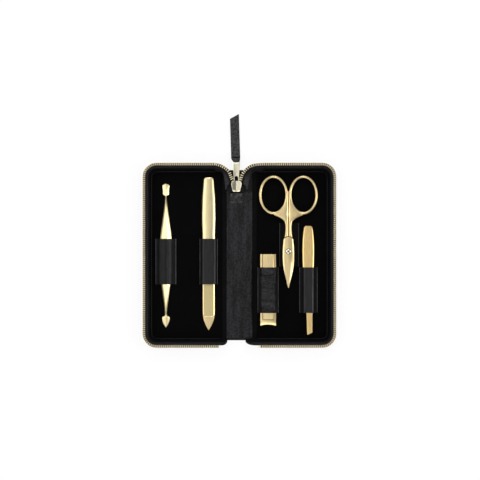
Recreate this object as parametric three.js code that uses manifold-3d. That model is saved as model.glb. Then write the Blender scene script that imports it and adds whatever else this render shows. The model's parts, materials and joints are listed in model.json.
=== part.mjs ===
// An open zip case for manicure tools: two shallow leather halves on a spine, a metal zip round
// the rim, and a cuticle pusher, a nail file, scissors, a nail clipper and tweezers in leather loops.
// Millimetres. The case lies flat on its covers at z = 0. +X is the half with the scissors,
// +Y is the end with the zip pull, and the origin is the middle of the spine's underside.
import * as THREE from "three";
import { mergeVertices } from "three/addons/utils/BufferGeometryUtils.js";
import Module from "manifold-3d";

const wasm = await Module();
wasm.setup();

// Driving sizes of the case
const RIM_HALF_X = 80.9;
const RIM_HALF_Y = 77.3;
const RIM_CORNER = 12;
const FLARE = 6;
const RIM_TOP = 12.2;
const FOLD_X = 12;
const FOLD_STRIP = 1;
const LEATHER = 1.1;
const BOARD = 1.2;
const LINING = 1.05;
const GLUE = 0.05;
const WELD = 0.0001;
const CUT = 1;

// What the base sheets leave free at the fold and at the walls
const LINING_START = 15.2;
const BOARD_INSET = 2;
const LINING_INSET = 2.2;
const SPINE_BOARD = 0.8;
const SPINE_LINING = 0.85;
const SPINE_INSET = 0.55;
const SPINE_BOARD_INSET = 1.3;
const CORNER_STEPS = 6;

const BASE_HALF_X = RIM_HALF_X - FLARE;
const BASE_HALF_Y = RIM_HALF_Y - FLARE;
const BASE_CORNER = RIM_CORNER - FLARE;
const COVER_START = FOLD_X + FOLD_STRIP / 2 + GLUE;
const SPINE_HALF_X = FOLD_X - FOLD_STRIP / 2 - GLUE;
const BOARD_Z = LEATHER + GLUE;
const LINING_Z = BOARD_Z + BOARD + GLUE;
const FLOOR_Z = LINING_Z + LINING;
const SPINE_LINING_Z = LEATHER + SPINE_BOARD + 2 * GLUE;
const SPINE_TOP = SPINE_LINING_Z + SPINE_LINING;

// Zip: tape, teeth and the bends that run down to the slider
const TEETH_LONG = 2.5;
const TEETH_THICK = 1.2;
const TOOTH_PITCH = 1.745;
const TOOTH_SHARE = 0.58;
const TOOTH_FLANK_SHARE = 0.08;
const BEAD_SHARE = 0.38;
const TAPE_THICK = 0.6;
const TAPE_WIDE = 1.7;
const RUN_START = 20;
const RUN_END = 17;
const WALL_TOP = RIM_TOP - TEETH_THICK - GLUE;

const RED_GOLD = { color: 0xd9bf86, roughness: 0.34, metalness: 1 };
const PALE_GOLD = { color: 0xdccfa6, roughness: 0.3, metalness: 1 };
const BRIGHT_METAL = { color: 0xe4dfcf, roughness: 0.22, metalness: 1 };
const BLACK_LEATHER = { color: 0x242326, roughness: 0.55, metalness: 0 };
const BLACK_SUEDE = { color: 0x0e0d0f, roughness: 0.95, metalness: 0 };
const GREY_BOARD = { color: 0x6a655c, roughness: 0.9, metalness: 0 };
const BLACK_TAPE = { color: 0x141315, roughness: 0.85, metalness: 0 };

const manicureCase = new THREE.Group();
manicureCase.name = "manicure_case";

// Shape helpers

// A mesh of points and faces with its faces turned outwards.
function closed(points, faces) {
  let six = 0;
  for (const [a, b, c] of faces)
    six += points[a].dot(new THREE.Vector3().crossVectors(points[b], points[c]));
  const order = six < 0 ? faces.map(([a, b, c]) => [a, c, b]) : faces;
  const geometry = new THREE.BufferGeometry().setFromPoints(points);
  geometry.setIndex(order.flat());
  geometry.computeVertexNormals();
  return geometry;
}

// Joins rings of points into one closed skin; profile is the ring drawn flat, for its two ends.
function sweep(rings, profile) {
  const around = profile.length;
  const last = (rings.length - 1) * around;
  const faces = [];
  for (let s = 0; s + 1 < rings.length; s++)
    for (let k = 0; k < around; k++) {
      const here = s * around + k;
      const next = s * around + ((k + 1) % around);
      faces.push([here, next, next + around], [here, next + around, here + around]);
    }
  const turned = THREE.ShapeUtils.isClockWise(profile);
  for (const ends of THREE.ShapeUtils.triangulateShape(profile, [])) {
    const [a, b, c] = turned ? [...ends].reverse() : ends;
    faces.push([c, b, a], [last + a, last + b, last + c]);
  }
  return closed(rings.flat(), faces);
}

function flat(pairs) {
  return pairs.map(([a, b]) => new THREE.Vector2(a, b));
}

// A sheet or plate: an outline in X and Y between two heights.
function plate(shape, low, high, curveSegments = 8) {
  const geometry = new THREE.ExtrudeGeometry(shape, {
    depth: high - low,
    bevelEnabled: false,
    curveSegments,
  });
  return geometry.translate(0, 0, low);
}

// A bar whose section in X and Z runs along Y from one place to another.
function barAlongY(section, from, to) {
  const rings = [from, to].map((y) => section.map(([x, z]) => new THREE.Vector3(x, y, z)));
  return sweep(rings, flat(section));
}

// A strip whose side view in Y and Z has one width in X.
function stripAcrossX(side, halfWidth) {
  const rings = [-halfWidth, halfWidth].map((x) => side.map(([y, z]) => new THREE.Vector3(x, y, z)));
  return sweep(rings, flat(side));
}

function disc(radius, low, high, steps = 24) {
  return new THREE.CylinderGeometry(radius, radius, high - low, steps)
    .rotateX(Math.PI / 2)
    .translate(0, 0, (low + high) / 2);
}

function solid(geometry) {
  const bare = geometry.clone();
  bare.deleteAttribute("normal");
  bare.deleteAttribute("uv");
  const merged = mergeVertices(bare, WELD);
  return new wasm.Manifold(
    new wasm.Mesh({
      numProp: 3,
      vertProperties: new Float32Array(merged.attributes.position.array),
      triVerts: new Uint32Array(merged.index.array),
    }),
  );
}

function skin(manifold) {
  const mesh = manifold.getMesh();
  const geometry = new THREE.BufferGeometry();
  geometry.setAttribute("position", new THREE.BufferAttribute(mesh.vertProperties, 3));
  geometry.setIndex(new THREE.BufferAttribute(mesh.triVerts, 1));
  geometry.computeVertexNormals();
  return geometry;
}

function joined(first, ...more) {
  return skin(more.reduce((whole, extra) => whole.add(solid(extra)), solid(first)));
}

function cut(first, ...tools) {
  return skin(tools.reduce((rest, tool) => rest.subtract(solid(tool)), solid(first)));
}

function piece(name, geometry, look, parent = manicureCase) {
  const mesh = new THREE.Mesh(geometry, new THREE.MeshStandardMaterial(look));
  mesh.name = name;
  parent.add(mesh);
  return mesh;
}

// The same shape on the other half of the case.
function mirrored(geometry) {
  const points = [];
  const source = geometry.attributes.position;
  for (let i = 0; i < source.count; i++)
    points.push(new THREE.Vector3(-source.getX(i), source.getY(i), source.getZ(i)));
  const index = geometry.index ? [...geometry.index.array] : points.map((_, i) => i);
  const faces = [];
  for (let i = 0; i < index.length; i += 3) faces.push([index[i], index[i + 2], index[i + 1]]);
  return closed(points, faces);
}

function bothHalves(name, geometry, look) {
  piece(`right_${name}`, geometry, look);
  piece(`left_${name}`, mirrored(geometry), look);
}

// Outline of one half's sheet: square at the fold, round at the two outer corners.
function halfOutline(inset, start) {
  const right = BASE_HALF_X - inset;
  const top = BASE_HALF_Y - inset;
  const corner = BASE_CORNER - inset;
  const shape = new THREE.Shape();
  shape.moveTo(start, -top);
  shape.lineTo(right - corner, -top);
  shape.absarc(right - corner, -top + corner, corner, -Math.PI / 2, 0, false);
  shape.absarc(right - corner, top - corner, corner, 0, Math.PI / 2, false);
  shape.lineTo(start, top);
  return shape;
}

// The rim's way round a half, from the pull end to the far end, at one distance outside the base.
function rimPath(out, start, end) {
  const radius = BASE_CORNER + out;
  const centreX = BASE_HALF_X - BASE_CORNER;
  const centreY = BASE_HALF_Y - BASE_CORNER;
  const path = [new THREE.Vector2(start, BASE_HALF_Y + out)];
  for (const [side, from] of [[1, Math.PI / 2], [-1, 0]])
    for (let i = 0; i <= CORNER_STEPS; i++) {
      const angle = from - (i / CORNER_STEPS) * (Math.PI / 2);
      path.push(new THREE.Vector2(
        centreX + radius * Math.cos(angle),
        side * centreY + radius * Math.sin(angle),
      ));
    }
  path.push(new THREE.Vector2(end, -BASE_HALF_Y - out));
  return path;
}

// A section of [distance outside the base, height] pairs carried round the rim.
function rimSweep(section, start, end) {
  const paths = section.map(([out]) => rimPath(out, start, end));
  const rings = paths[0].map((_, i) =>
    section.map(([, z], k) => new THREE.Vector3(paths[k][i].x, paths[k][i].y, z)),
  );
  return sweep(rings, flat(section));
}

// Base: covers, stiffening boards and linings, with the leather that bends at each fold
function rectangle(halfX, low, high, middleX = 0) {
  return new THREE.Shape(flat([
    [middleX - halfX, low], [middleX + halfX, low], [middleX + halfX, high], [middleX - halfX, high],
  ]));
}

bothHalves("cover", plate(halfOutline(0, COVER_START), 0, LEATHER), BLACK_LEATHER);
bothHalves("board", plate(halfOutline(BOARD_INSET, LINING_START), BOARD_Z, BOARD_Z + BOARD), GREY_BOARD);
bothHalves("lining", plate(halfOutline(LINING_INSET, LINING_START), LINING_Z, FLOOR_Z), BLACK_SUEDE);

const FOLD_THIN = 0.1;
const foldShape = rectangle(FOLD_STRIP / 2 - GLUE / 2, -BASE_HALF_Y, BASE_HALF_Y, FOLD_X);
bothHalves("fold", plate(foldShape, FOLD_THIN, LEATHER - FOLD_THIN), BLACK_LEATHER);

const SPINE_BOARD_TOP_Y = 64;
const SPINE_LINING_TOP_Y = 53.2;
const SPINE_END_INSET = 2.1;
piece("spine_cover", plate(rectangle(SPINE_HALF_X, -BASE_HALF_Y, BASE_HALF_Y), 0, LEATHER), BLACK_LEATHER);
piece("spine_board", plate(
  rectangle(SPINE_HALF_X - SPINE_BOARD_INSET, SPINE_END_INSET - BASE_HALF_Y, SPINE_BOARD_TOP_Y),
  BOARD_Z,
  BOARD_Z + SPINE_BOARD,
), GREY_BOARD);
piece("spine_lining", plate(
  rectangle(SPINE_HALF_X - SPINE_INSET, SPINE_END_INSET - BASE_HALF_Y, SPINE_LINING_TOP_Y),
  SPINE_LINING_Z,
  SPINE_TOP,
), BLACK_LEATHER);

// Walls: leather that leans outwards from the base to the zip tape
const WALL_THICK = 1.5;
const WALL_BULGE = 1.2;
const WALL_SHIFT = 2.9;
const WALL_LOW_SHARE = 0.2;
const WALL_MIDDLE_SHARE = 0.52;
const wallRise = WALL_TOP - BOARD_Z;
const wallSection = [
  [0, BOARD_Z],
  [WALL_BULGE, BOARD_Z + WALL_LOW_SHARE * wallRise],
  [(WALL_BULGE + WALL_SHIFT) / 2, BOARD_Z + WALL_MIDDLE_SHARE * wallRise],
  [WALL_SHIFT, WALL_TOP],
  [WALL_SHIFT - WALL_THICK, WALL_TOP],
  [(WALL_BULGE + WALL_SHIFT) / 2 - WALL_THICK, BOARD_Z + WALL_MIDDLE_SHARE * wallRise],
  [WALL_BULGE - WALL_THICK, BOARD_Z + WALL_LOW_SHARE * wallRise],
  [-WALL_THICK, BOARD_Z],
];
bothHalves("wall", rimSweep(wallSection, RUN_START, RUN_END), BLACK_LEATHER);

// Zip tape: sewn on the wall's top edge, carrying the teeth outwards
const TEETH_Z = RIM_TOP - TEETH_THICK;
const TAPE_END = FLARE - TEETH_LONG - GLUE;
const tapeSection = [
  [TAPE_END - TAPE_WIDE, TEETH_Z],
  [TAPE_END, TEETH_Z],
  [TAPE_END, TEETH_Z + TAPE_THICK],
  [TAPE_END - TAPE_WIDE, TEETH_Z + TAPE_THICK],
];
bothHalves("zip_tape", rimSweep(tapeSection, RUN_START, RUN_END), BLACK_TAPE);

// The teeth of the straight runs and corners, on the bead that holds them to the tape
function toothComb() {
  const centreX = BASE_HALF_X - BASE_CORNER;
  const centreY = BASE_HALF_Y - BASE_CORNER;
  const topRun = centreX - RUN_START;
  const arc = (RIM_CORNER * Math.PI) / 2;
  const sideRun = 2 * centreY;
  const bottomRun = centreX - RUN_END;
  const whole = topRun + arc + sideRun + arc + bottomRun;
  function place(along, out) {
    const radius = BASE_CORNER + out;
    let s = along;
    if (s <= topRun) return [RUN_START + s, BASE_HALF_Y + out];
    s -= topRun;
    if (s <= arc) {
      const angle = Math.PI / 2 - s / RIM_CORNER;
      return [centreX + radius * Math.cos(angle), centreY + radius * Math.sin(angle)];
    }
    s -= arc;
    if (s <= sideRun) return [BASE_HALF_X + out, centreY - s];
    s -= sideRun;
    if (s <= arc) {
      const angle = -s / RIM_CORNER;
      return [centreX + radius * Math.cos(angle), -centreY + radius * Math.sin(angle)];
    }
    return [centreX - (s - arc), -BASE_HALF_Y - out];
  }
  const root = FLARE - TEETH_LONG;
  const bead = root + BEAD_SHARE * TEETH_LONG;
  const teeth = Math.floor(whole / TOOTH_PITCH);
  const margin = (whole - teeth * TOOTH_PITCH) / 2;
  const outline = [place(0, bead)];
  for (let i = 0; i < teeth; i++) {
    const from = margin + (i + (1 - TOOTH_SHARE) / 2) * TOOTH_PITCH;
    const flank = TOOTH_FLANK_SHARE * TOOTH_PITCH;
    const to = from + TOOTH_SHARE * TOOTH_PITCH;
    outline.push(place(from, bead), place(from + flank, FLARE), place(to - flank, FLARE), place(to, bead));
  }
  outline.push(place(whole, bead), place(whole, root));
  for (const [side, start] of [[-1, -Math.PI / 2], [1, 0]])
    for (let i = 0; i <= CORNER_STEPS; i++) {
      const angle = start + (i / CORNER_STEPS) * (Math.PI / 2);
      outline.push([
        centreX + (BASE_CORNER + root) * Math.cos(angle),
        side * centreY + (BASE_CORNER + root) * Math.sin(angle),
      ]);
    }
  outline.push(place(0, root));
  return plate(new THREE.Shape(flat(outline)), TEETH_Z, RIM_TOP);
}
bothHalves("zip_teeth", toothComb(), PALE_GOLD);

// Slider and its bridge: seen from its back, with the pull hinged on the side towards the spine
const SLIDER_X = -2.5;
const SLIDER_Y = 53.1;
const SLIDER_LONG = 8.9;
const SLIDER_WIDE = 8.8;
const SLIDER_Z = 3.9;
const SLIDER_PLATE = 0.9;
const SLIDER_CHANNEL = 1.8;
const SLIDER_TOP_Y = SLIDER_Y + SLIDER_LONG;
const SLIDER_OUTLINE_SHARES = [
  [-0.3, 0], [0.3, 0], [0.36, 0.06], [0.5, 0.72], [0.42, 1], [-0.42, 1], [-0.5, 0.72], [-0.36, 0.06],
];
const POST_RADIUS = 0.9;
const POST_SHARE = 0.84;
const FLANGE_WIDE = 0.7;
const FLANGE_LOW = 0.2;
const FLANGE_HIGH = 0.85;
const FLANGE_LONG_SHARE = 0.6;
const TAIL_HALF_SHARE = 0.36;
const BRIDGE_WIDE = 1.6;
const BRIDGE_LONG = 5;
const BRIDGE_BAR = 0.5;
const BRIDGE_LEG = 0.6;
const BRIDGE_DROP = 1.85;
const BRIDGE_Y = 1.4;

function box(x0, x1, y0, y1, z0, z1) {
  return plate(new THREE.Shape(flat([[x0, y0], [x1, y0], [x1, y1], [x0, y1]])), z0, z1);
}

function slider() {
  const outline = new THREE.Shape(flat(SLIDER_OUTLINE_SHARES.map(([x, y]) => [x * SLIDER_WIDE, y * SLIDER_LONG])));
  const channelZ = SLIDER_PLATE + SLIDER_CHANNEL;
  const tail = TAIL_HALF_SHARE * SLIDER_WIDE;
  const flangeEnd = FLANGE_LONG_SHARE * SLIDER_LONG;
  const parts = [
    plate(outline, channelZ, channelZ + SLIDER_PLATE),
    disc(POST_RADIUS, 0, channelZ + SLIDER_PLATE, 12).translate(0, POST_SHARE * SLIDER_LONG, 0),
    box(-BRIDGE_WIDE / 2, BRIDGE_WIDE / 2, BRIDGE_Y, BRIDGE_Y + BRIDGE_LONG, -BRIDGE_DROP, BRIDGE_BAR - BRIDGE_DROP),
  ];
  for (const y of [BRIDGE_Y, BRIDGE_Y + BRIDGE_LONG - BRIDGE_LEG])
    parts.push(box(-BRIDGE_WIDE / 2, BRIDGE_WIDE / 2, y, y + BRIDGE_LEG, -BRIDGE_DROP, SLIDER_PLATE));
  for (const side of [-1, 1]) {
    const inner = side * (tail - FLANGE_WIDE);
    const [x0, x1] = side < 0 ? [-tail, inner] : [inner, tail];
    parts.push(box(x0, x1, FLANGE_WIDE, flangeEnd, 0, SLIDER_PLATE + FLANGE_LOW));
    parts.push(box(x0, x1, FLANGE_WIDE, flangeEnd, channelZ - FLANGE_HIGH, channelZ + SLIDER_PLATE));
  }
  return joined(plate(outline, 0, SLIDER_PLATE), ...parts);
}
piece("slider_body", slider(), BRIGHT_METAL).position.set(SLIDER_X, SLIDER_Y, SLIDER_Z);

// Bends: the wall, tape and teeth that leave the straight rim and run down to the slider
const BEND_GAP = 0.3;
const BEND_START_GAP = 0.8;
const BEND_END_Y = SLIDER_TOP_Y + BEND_GAP;
const BEND_END_Z = SLIDER_Z + SLIDER_PLATE + BEND_GAP;
const BEND_END_OUT = 4.5;
const BEND_FOOT_Y = 55;
const BEND_FOOT_OUT = 8.8;
const BEND_FOOT_INSET = 0.7;
const BEND_FOOT_Z = 2.3;
const BEND_WALL = 1.1;
const BEND_STEPS = 12;
const RIGHT_BEND_SHARES = [
  [1, 1, 1], [0.583, 0.94, 0.96], [0.333, 0.78, 0.82], [0.19, 0.576, 0.6], [0.083, 0.348, 0.38], [0.028, 0.12, 0.15], [0, 0, 0],
];
const LEFT_BEND_SHARES = [
  [1, 1, 1], [0.692, 0.9, 0.94], [0.446, 0.757, 0.8], [0.254, 0.606, 0.6], [0.162, 0.41, 0.38], [0.08, 0.18, 0.15], [0, 0, 0],
];
const BEND_FOOT_SHARES = [
  [1, 1, 1], [0.5, 0.99, 0], [0.27, 0.84, 0], [0.13, 0.56, 0], [0.05, 0.26, 0], [0, 0, 0],
];

// A smooth line through places given as shares of the way from its end to its start.
function shareCurve(shares, start, end) {
  return new THREE.CatmullRomCurve3(
    shares.map(([x, y, z]) => new THREE.Vector3(
      end.x + x * (start.x - end.x),
      end.y + y * (start.y - end.y),
      end.z + z * (start.z - end.z),
    )),
  );
}

// The level direction square to a line, to the side that its teeth point.
function outwards(curve, t, turn) {
  const along = curve.getTangent(t);
  return new THREE.Vector3(turn * along.y, -turn * along.x, 0).normalize();
}

// A section of [outwards, up] pairs for each station, carried along a line.
function curveSweep(curve, turn, stations) {
  const rings = stations.map(([t, section]) => {
    const middle = curve.getPoint(t);
    const out = outwards(curve, t, turn);
    return section.map(([o, up]) => middle.clone().addScaledVector(out, o).setZ(middle.z + up));
  });
  return sweep(rings, flat(stations[0][1]));
}

function bendTeeth(curve, turn) {
  const teeth = Math.floor(curve.getLength() / TOOTH_PITCH);
  const bead = BEAD_SHARE * TEETH_LONG;
  const section = (out) => [[0, 0], [out, 0], [out, TEETH_THICK], [0, TEETH_THICK]];
  const stations = [[0, section(bead)]];
  for (let i = 0; i < teeth; i++) {
    const from = i + (1 - TOOTH_SHARE) / 2;
    const to = from + TOOTH_SHARE;
    stations.push([from / teeth, section(bead)], [(from + TOOTH_FLANK_SHARE) / teeth, section(TEETH_LONG)]);
    stations.push([(to - TOOTH_FLANK_SHARE) / teeth, section(TEETH_LONG)], [to / teeth, section(bead)]);
  }
  stations.push([1, section(bead)]);
  return curveSweep(curve, turn, stations);
}

function bendTape(curve, turn) {
  const section = [[-TAPE_WIDE, 0], [-GLUE, 0], [-GLUE, TAPE_THICK], [-TAPE_WIDE, TAPE_THICK]];
  const stations = Array.from({ length: BEND_STEPS + 1 }, (_, i) => [i / BEND_STEPS, section]);
  return curveSweep(curve, turn, stations);
}

// The leather between the foot line on the base and the underside of the bent tape.
function bendWall(curve, foot, turn) {
  const half = BEND_WALL / 2;
  const rings = [];
  for (let i = 0; i <= BEND_STEPS; i++) {
    const t = i / BEND_STEPS;
    const out = outwards(curve, t, turn);
    const top = curve.getPoint(t).addScaledVector(out, -TAPE_WIDE + half);
    top.z -= 2 * GLUE;
    const low = foot.getPoint(t);
    rings.push([
      low.clone().addScaledVector(out, half), top.clone().addScaledVector(out, half),
      top.clone().addScaledVector(out, -half), low.clone().addScaledVector(out, -half),
    ]);
  }
  return sweep(rings, flat([[half, 0], [half, RIM_TOP], [-half, RIM_TOP], [-half, 0]]));
}

for (const [half, side, shares] of [["right", 1, RIGHT_BEND_SHARES], ["left", -1, LEFT_BEND_SHARES]]) {
  const start = new THREE.Vector3(side * (RUN_START - BEND_START_GAP), BASE_HALF_Y + FLARE - TEETH_LONG, TEETH_Z);
  const end = new THREE.Vector3(SLIDER_X + side * BEND_END_OUT, BEND_END_Y, BEND_END_Z);
  const rim = shareCurve(shares, start, end);
  const footStart = new THREE.Vector3(start.x, BASE_HALF_Y - BEND_FOOT_INSET, BOARD_Z + BEND_GAP);
  const footEnd = new THREE.Vector3(SLIDER_X + side * BEND_FOOT_OUT, BEND_FOOT_Y, BEND_FOOT_Z);
  const foot = shareCurve(BEND_FOOT_SHARES, footStart, footEnd);
  piece(`${half}_bend_wall`, bendWall(rim, foot, side), BLACK_LEATHER);
  piece(`${half}_bend_tape`, bendTape(rim, side), BLACK_TAPE);
  piece(`${half}_bend_teeth`, bendTeeth(rim, side), PALE_GOLD);
}

// Far ends: the wall, tape and teeth that die away beside the spine's other end
const END_OUT = 7.6;
const END_SHARES = [[1, 1], [0.62, 1], [0.31, 0.88], [0.13, 0.66], [0.04, 0.45], [0, 0.3]];
const END_STOP_LONG = 1.8;

// Where the rim lies at a share of the way: its X, and how much of the flare and height is left.
function endSweep(section, side) {
  const start = side * (RUN_END - BEND_GAP);
  const end = SLIDER_X + side * END_OUT;
  const rings = END_SHARES.map(([x, left]) => section.map(([out, z]) => new THREE.Vector3(
    end + x * (start - end),
    -(BASE_HALF_Y + left * out),
    BOARD_Z + left * (z - BOARD_Z),
  )));
  return sweep(rings, flat(section));
}

for (const [half, side] of [["right", 1], ["left", -1]]) {
  piece(`${half}_end_wall`, endSweep(wallSection, side), BLACK_LEATHER);
  piece(`${half}_end_tape`, endSweep(tapeSection, side), BLACK_TAPE);
  const root = FLARE - TEETH_LONG;
  const stopSection = [[root, TEETH_Z], [FLARE, TEETH_Z], [FLARE, RIM_TOP], [root, RIM_TOP]];
  const from = side * (RUN_END - BEND_GAP);
  const rings = [from, from - side * END_STOP_LONG].map((x) => stopSection.map(([out, z]) =>
    new THREE.Vector3(x, -(BASE_HALF_Y + out), z),
  ));
  piece(`${half}_zip_stop`, sweep(rings, flat(stopSection)), PALE_GOLD);
}

// Zip end: the leather tab that grips the closed end of the zip beside the spine lining
const TAB_HALF = 6.2;
const TAB_TOP_Y = 52.4;
const TAB_LONG = 8.9;
const TAB_GRIP = 3.2;
const TAB_SKIN = 0.6;
const END_TAPE_Z = SLIDER_Z + SLIDER_PLATE + FLANGE_LOW + GLUE;
const END_TAPE_HALF = 6;
const END_TAPE_TOP_Y = 57.4;
const END_CHAIN_HALF = 2;
const END_CHAIN_THICK = 0.85;
const END_CHAIN_TOP_Y = 57.8;
const tabGripY = TAB_TOP_Y - TAB_GRIP;
const chainZ = END_TAPE_Z + TAPE_THICK + GLUE;
const tabFloor = SPINE_TOP + GLUE;
const tabRoof = chainZ + END_CHAIN_THICK + GLUE;
piece("zip_end_tab", stripAcrossX([
  [TAB_TOP_Y - TAB_LONG, tabFloor],
  [TAB_TOP_Y, tabFloor],
  [TAB_TOP_Y, END_TAPE_Z - GLUE],
  [tabGripY, END_TAPE_Z - GLUE],
  [tabGripY, tabRoof],
  [TAB_TOP_Y, tabRoof],
  [TAB_TOP_Y, tabRoof + TAB_SKIN],
  [tabGripY - TAB_SKIN, tabRoof + TAB_SKIN],
  [TAB_TOP_Y - TAB_LONG, tabFloor + TAB_SKIN],
], TAB_HALF), BLACK_LEATHER).position.x = SLIDER_X;
piece("zip_end_tape", box(
  SLIDER_X - END_TAPE_HALF, SLIDER_X + END_TAPE_HALF,
  tabGripY + GLUE, END_TAPE_TOP_Y,
  END_TAPE_Z, END_TAPE_Z + TAPE_THICK,
), BLACK_TAPE);
piece("zip_end_chain", box(
  SLIDER_X - END_CHAIN_HALF, SLIDER_X + END_CHAIN_HALF,
  tabGripY + GLUE, END_CHAIN_TOP_Y,
  chainZ, chainZ + END_CHAIN_THICK,
), PALE_GOLD);

// Zip pull: a metal plate round the slider's bridge, and a folded leather strap on its end bar
const PULL_THICK = 0.8;
const PULL_BAR = 1.4;
const PULL_BAR_AHEAD = 1.1;
const PULL_HALF = 2.35;
const PULL_END_HALF = 3.1;
const PULL_LONG = 24.6;
const PULL_NECK = 11.5;
const WINDOW_HALF = 1.5;
const WINDOW_LONG = 9.2;
const SLOT_HALF = 2.2;
const SLOT_LONG = 2.3;
const END_BAR = 1.2;
const pullY = SLIDER_Y + BRIDGE_Y + PULL_BAR_AHEAD;
const pullMiddleZ = SLIDER_Z - (BRIDGE_DROP - BRIDGE_BAR) / 2;
const pullShape = new THREE.Shape(flat([
  [-PULL_HALF, 0], [PULL_HALF, 0], [PULL_HALF, PULL_NECK], [PULL_END_HALF, PULL_LONG],
  [-PULL_END_HALF, PULL_LONG], [-PULL_HALF, PULL_NECK],
]));
const pullWindow = new THREE.Path();
pullWindow.moveTo(-WINDOW_HALF, PULL_BAR);
pullWindow.lineTo(-WINDOW_HALF, PULL_BAR + WINDOW_LONG - WINDOW_HALF);
pullWindow.absarc(0, PULL_BAR + WINDOW_LONG - WINDOW_HALF, WINDOW_HALF, Math.PI, 0, true);
pullWindow.lineTo(WINDOW_HALF, PULL_BAR);
const slotTop = PULL_LONG - END_BAR;
const pullSlot = new THREE.Path(flat([
  [-SLOT_HALF, slotTop - SLOT_LONG], [-SLOT_HALF, slotTop], [SLOT_HALF, slotTop], [SLOT_HALF, slotTop - SLOT_LONG],
]));
pullShape.holes.push(pullWindow, pullSlot);
piece("puller_plate", plate(pullShape, -PULL_THICK / 2, PULL_THICK / 2), BRIGHT_METAL)
  .position.set(SLIDER_X, pullY, pullMiddleZ);

const STRAP_HALF = 3.65;
const STRAP_LONG = 40;
const STRAP_SLANT = 3.9;
const STRAP_THICK = 1.7;
const STRAP_SKIN = 0.6;
const STRAP_EYE = 1.6;
const STRAP_EYE_LONG = 2.7;
const STRAP_EYE_HALF = 1.9;
const STRAP_DROP = 6.5;
const STRAP_LEAN = 0.03;
const STRAP_FLOOR = 0.1;
const barY = pullY + PULL_LONG - END_BAR / 2;
const strapGroup = new THREE.Group();
strapGroup.position.set(SLIDER_X, barY, 0);
strapGroup.rotation.z = STRAP_LEAN;
manicureCase.add(strapGroup);
const eyeHalf = STRAP_EYE / 2;
const eyeBack = -(STRAP_EYE_LONG / 2);
const strapSide = (end) => [
  [eyeBack - STRAP_SKIN, pullMiddleZ - eyeHalf - STRAP_SKIN],
  [-eyeBack, pullMiddleZ - eyeHalf - STRAP_SKIN],
  [-eyeBack + STRAP_DROP, STRAP_FLOOR],
  [end, STRAP_FLOOR],
  [end, STRAP_FLOOR + STRAP_THICK],
  [-eyeBack + STRAP_DROP + STRAP_SKIN, STRAP_FLOOR + STRAP_THICK],
  [-eyeBack + STRAP_SKIN, pullMiddleZ + eyeHalf + STRAP_SKIN],
  [eyeBack - STRAP_SKIN, pullMiddleZ + eyeHalf + STRAP_SKIN],
];
const strapRings = [[-STRAP_HALF, -STRAP_SLANT], [STRAP_HALF, 0]].map(([x, back]) =>
  strapSide(eyeBack + STRAP_LONG + back).map(([y, z]) => new THREE.Vector3(x, y, z)),
);
const strapBody = cut(
  sweep(strapRings, flat(strapSide(STRAP_LONG))),
  box(-STRAP_HALF - CUT, STRAP_HALF + CUT, eyeBack, -eyeBack, pullMiddleZ - eyeHalf, pullMiddleZ + eyeHalf),
  ...[-1, 1].map((side) => box(
    Math.min(side * STRAP_EYE_HALF, side * (STRAP_HALF + CUT)),
    Math.max(side * STRAP_EYE_HALF, side * (STRAP_HALF + CUT)),
    eyeBack - STRAP_SKIN - CUT, -eyeBack, 0, RIM_TOP,
  )),
);
piece("pull_strap", strapBody, BLACK_LEATHER, strapGroup);

// Leather loops that hold the tools, sewn to the linings by a flange on each side
const LOOP_LEATHER = 0.8;
const LOOP_EASE = 0.25;
const LOOP_CHAMFER = 0.9;
const TOOL_LIFT = 0.1;

function loop(name, place, innerHalf, innerHigh, flangeHalf) {
  const outerHalf = innerHalf + LOOP_LEATHER;
  const outerHigh = innerHigh + LOOP_LEATHER;
  const chamfer = Math.min(LOOP_CHAMFER, innerHigh / 2);
  const section = [
    [-flangeHalf, 0], [-innerHalf, 0], [-innerHalf, innerHigh - chamfer], [-innerHalf + chamfer, innerHigh],
    [innerHalf - chamfer, innerHigh], [innerHalf, innerHigh - chamfer], [innerHalf, 0], [flangeHalf, 0],
    [flangeHalf, LOOP_LEATHER], [outerHalf, LOOP_LEATHER],
    [outerHalf, Math.max(outerHigh - chamfer, LOOP_LEATHER + GLUE)], [outerHalf - chamfer, outerHigh],
    [-outerHalf + chamfer, outerHigh], [-outerHalf, Math.max(outerHigh - chamfer, LOOP_LEATHER + GLUE)],
    [-outerHalf, LOOP_LEATHER], [-flangeHalf, LOOP_LEATHER],
  ];
  piece(name, barAlongY(section, place.low, place.high), BLACK_LEATHER)
    .position.set(place.x, 0, FLOOR_Z + GLUE);
}

// Half-width and height shares of a tool's section: flat below, with a chamfered top.
const BAR_SECTION_SHARES = [
  [-1, 0.28], [-0.78, 0], [0.78, 0], [1, 0.28], [1, 0.6], [0.5, 1], [-0.5, 1], [-1, 0.6],
];

// A long tool built from rows of shares: length, width, height, then lift, shift aside and slant.
function bladeLoft(rows, long, wide, thick) {
  const rings = rows.map(([at, broad, high, lift = 0, shift = 0, slant = 0]) =>
    BAR_SECTION_SHARES.map(([x, z]) => {
      const across = (x * broad * wide) / 2;
      return new THREE.Vector3(across + shift * wide, at * long + slant * across, (lift + z * high) * thick);
    }),
  );
  return sweep(rings, flat(BAR_SECTION_SHARES));
}

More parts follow.
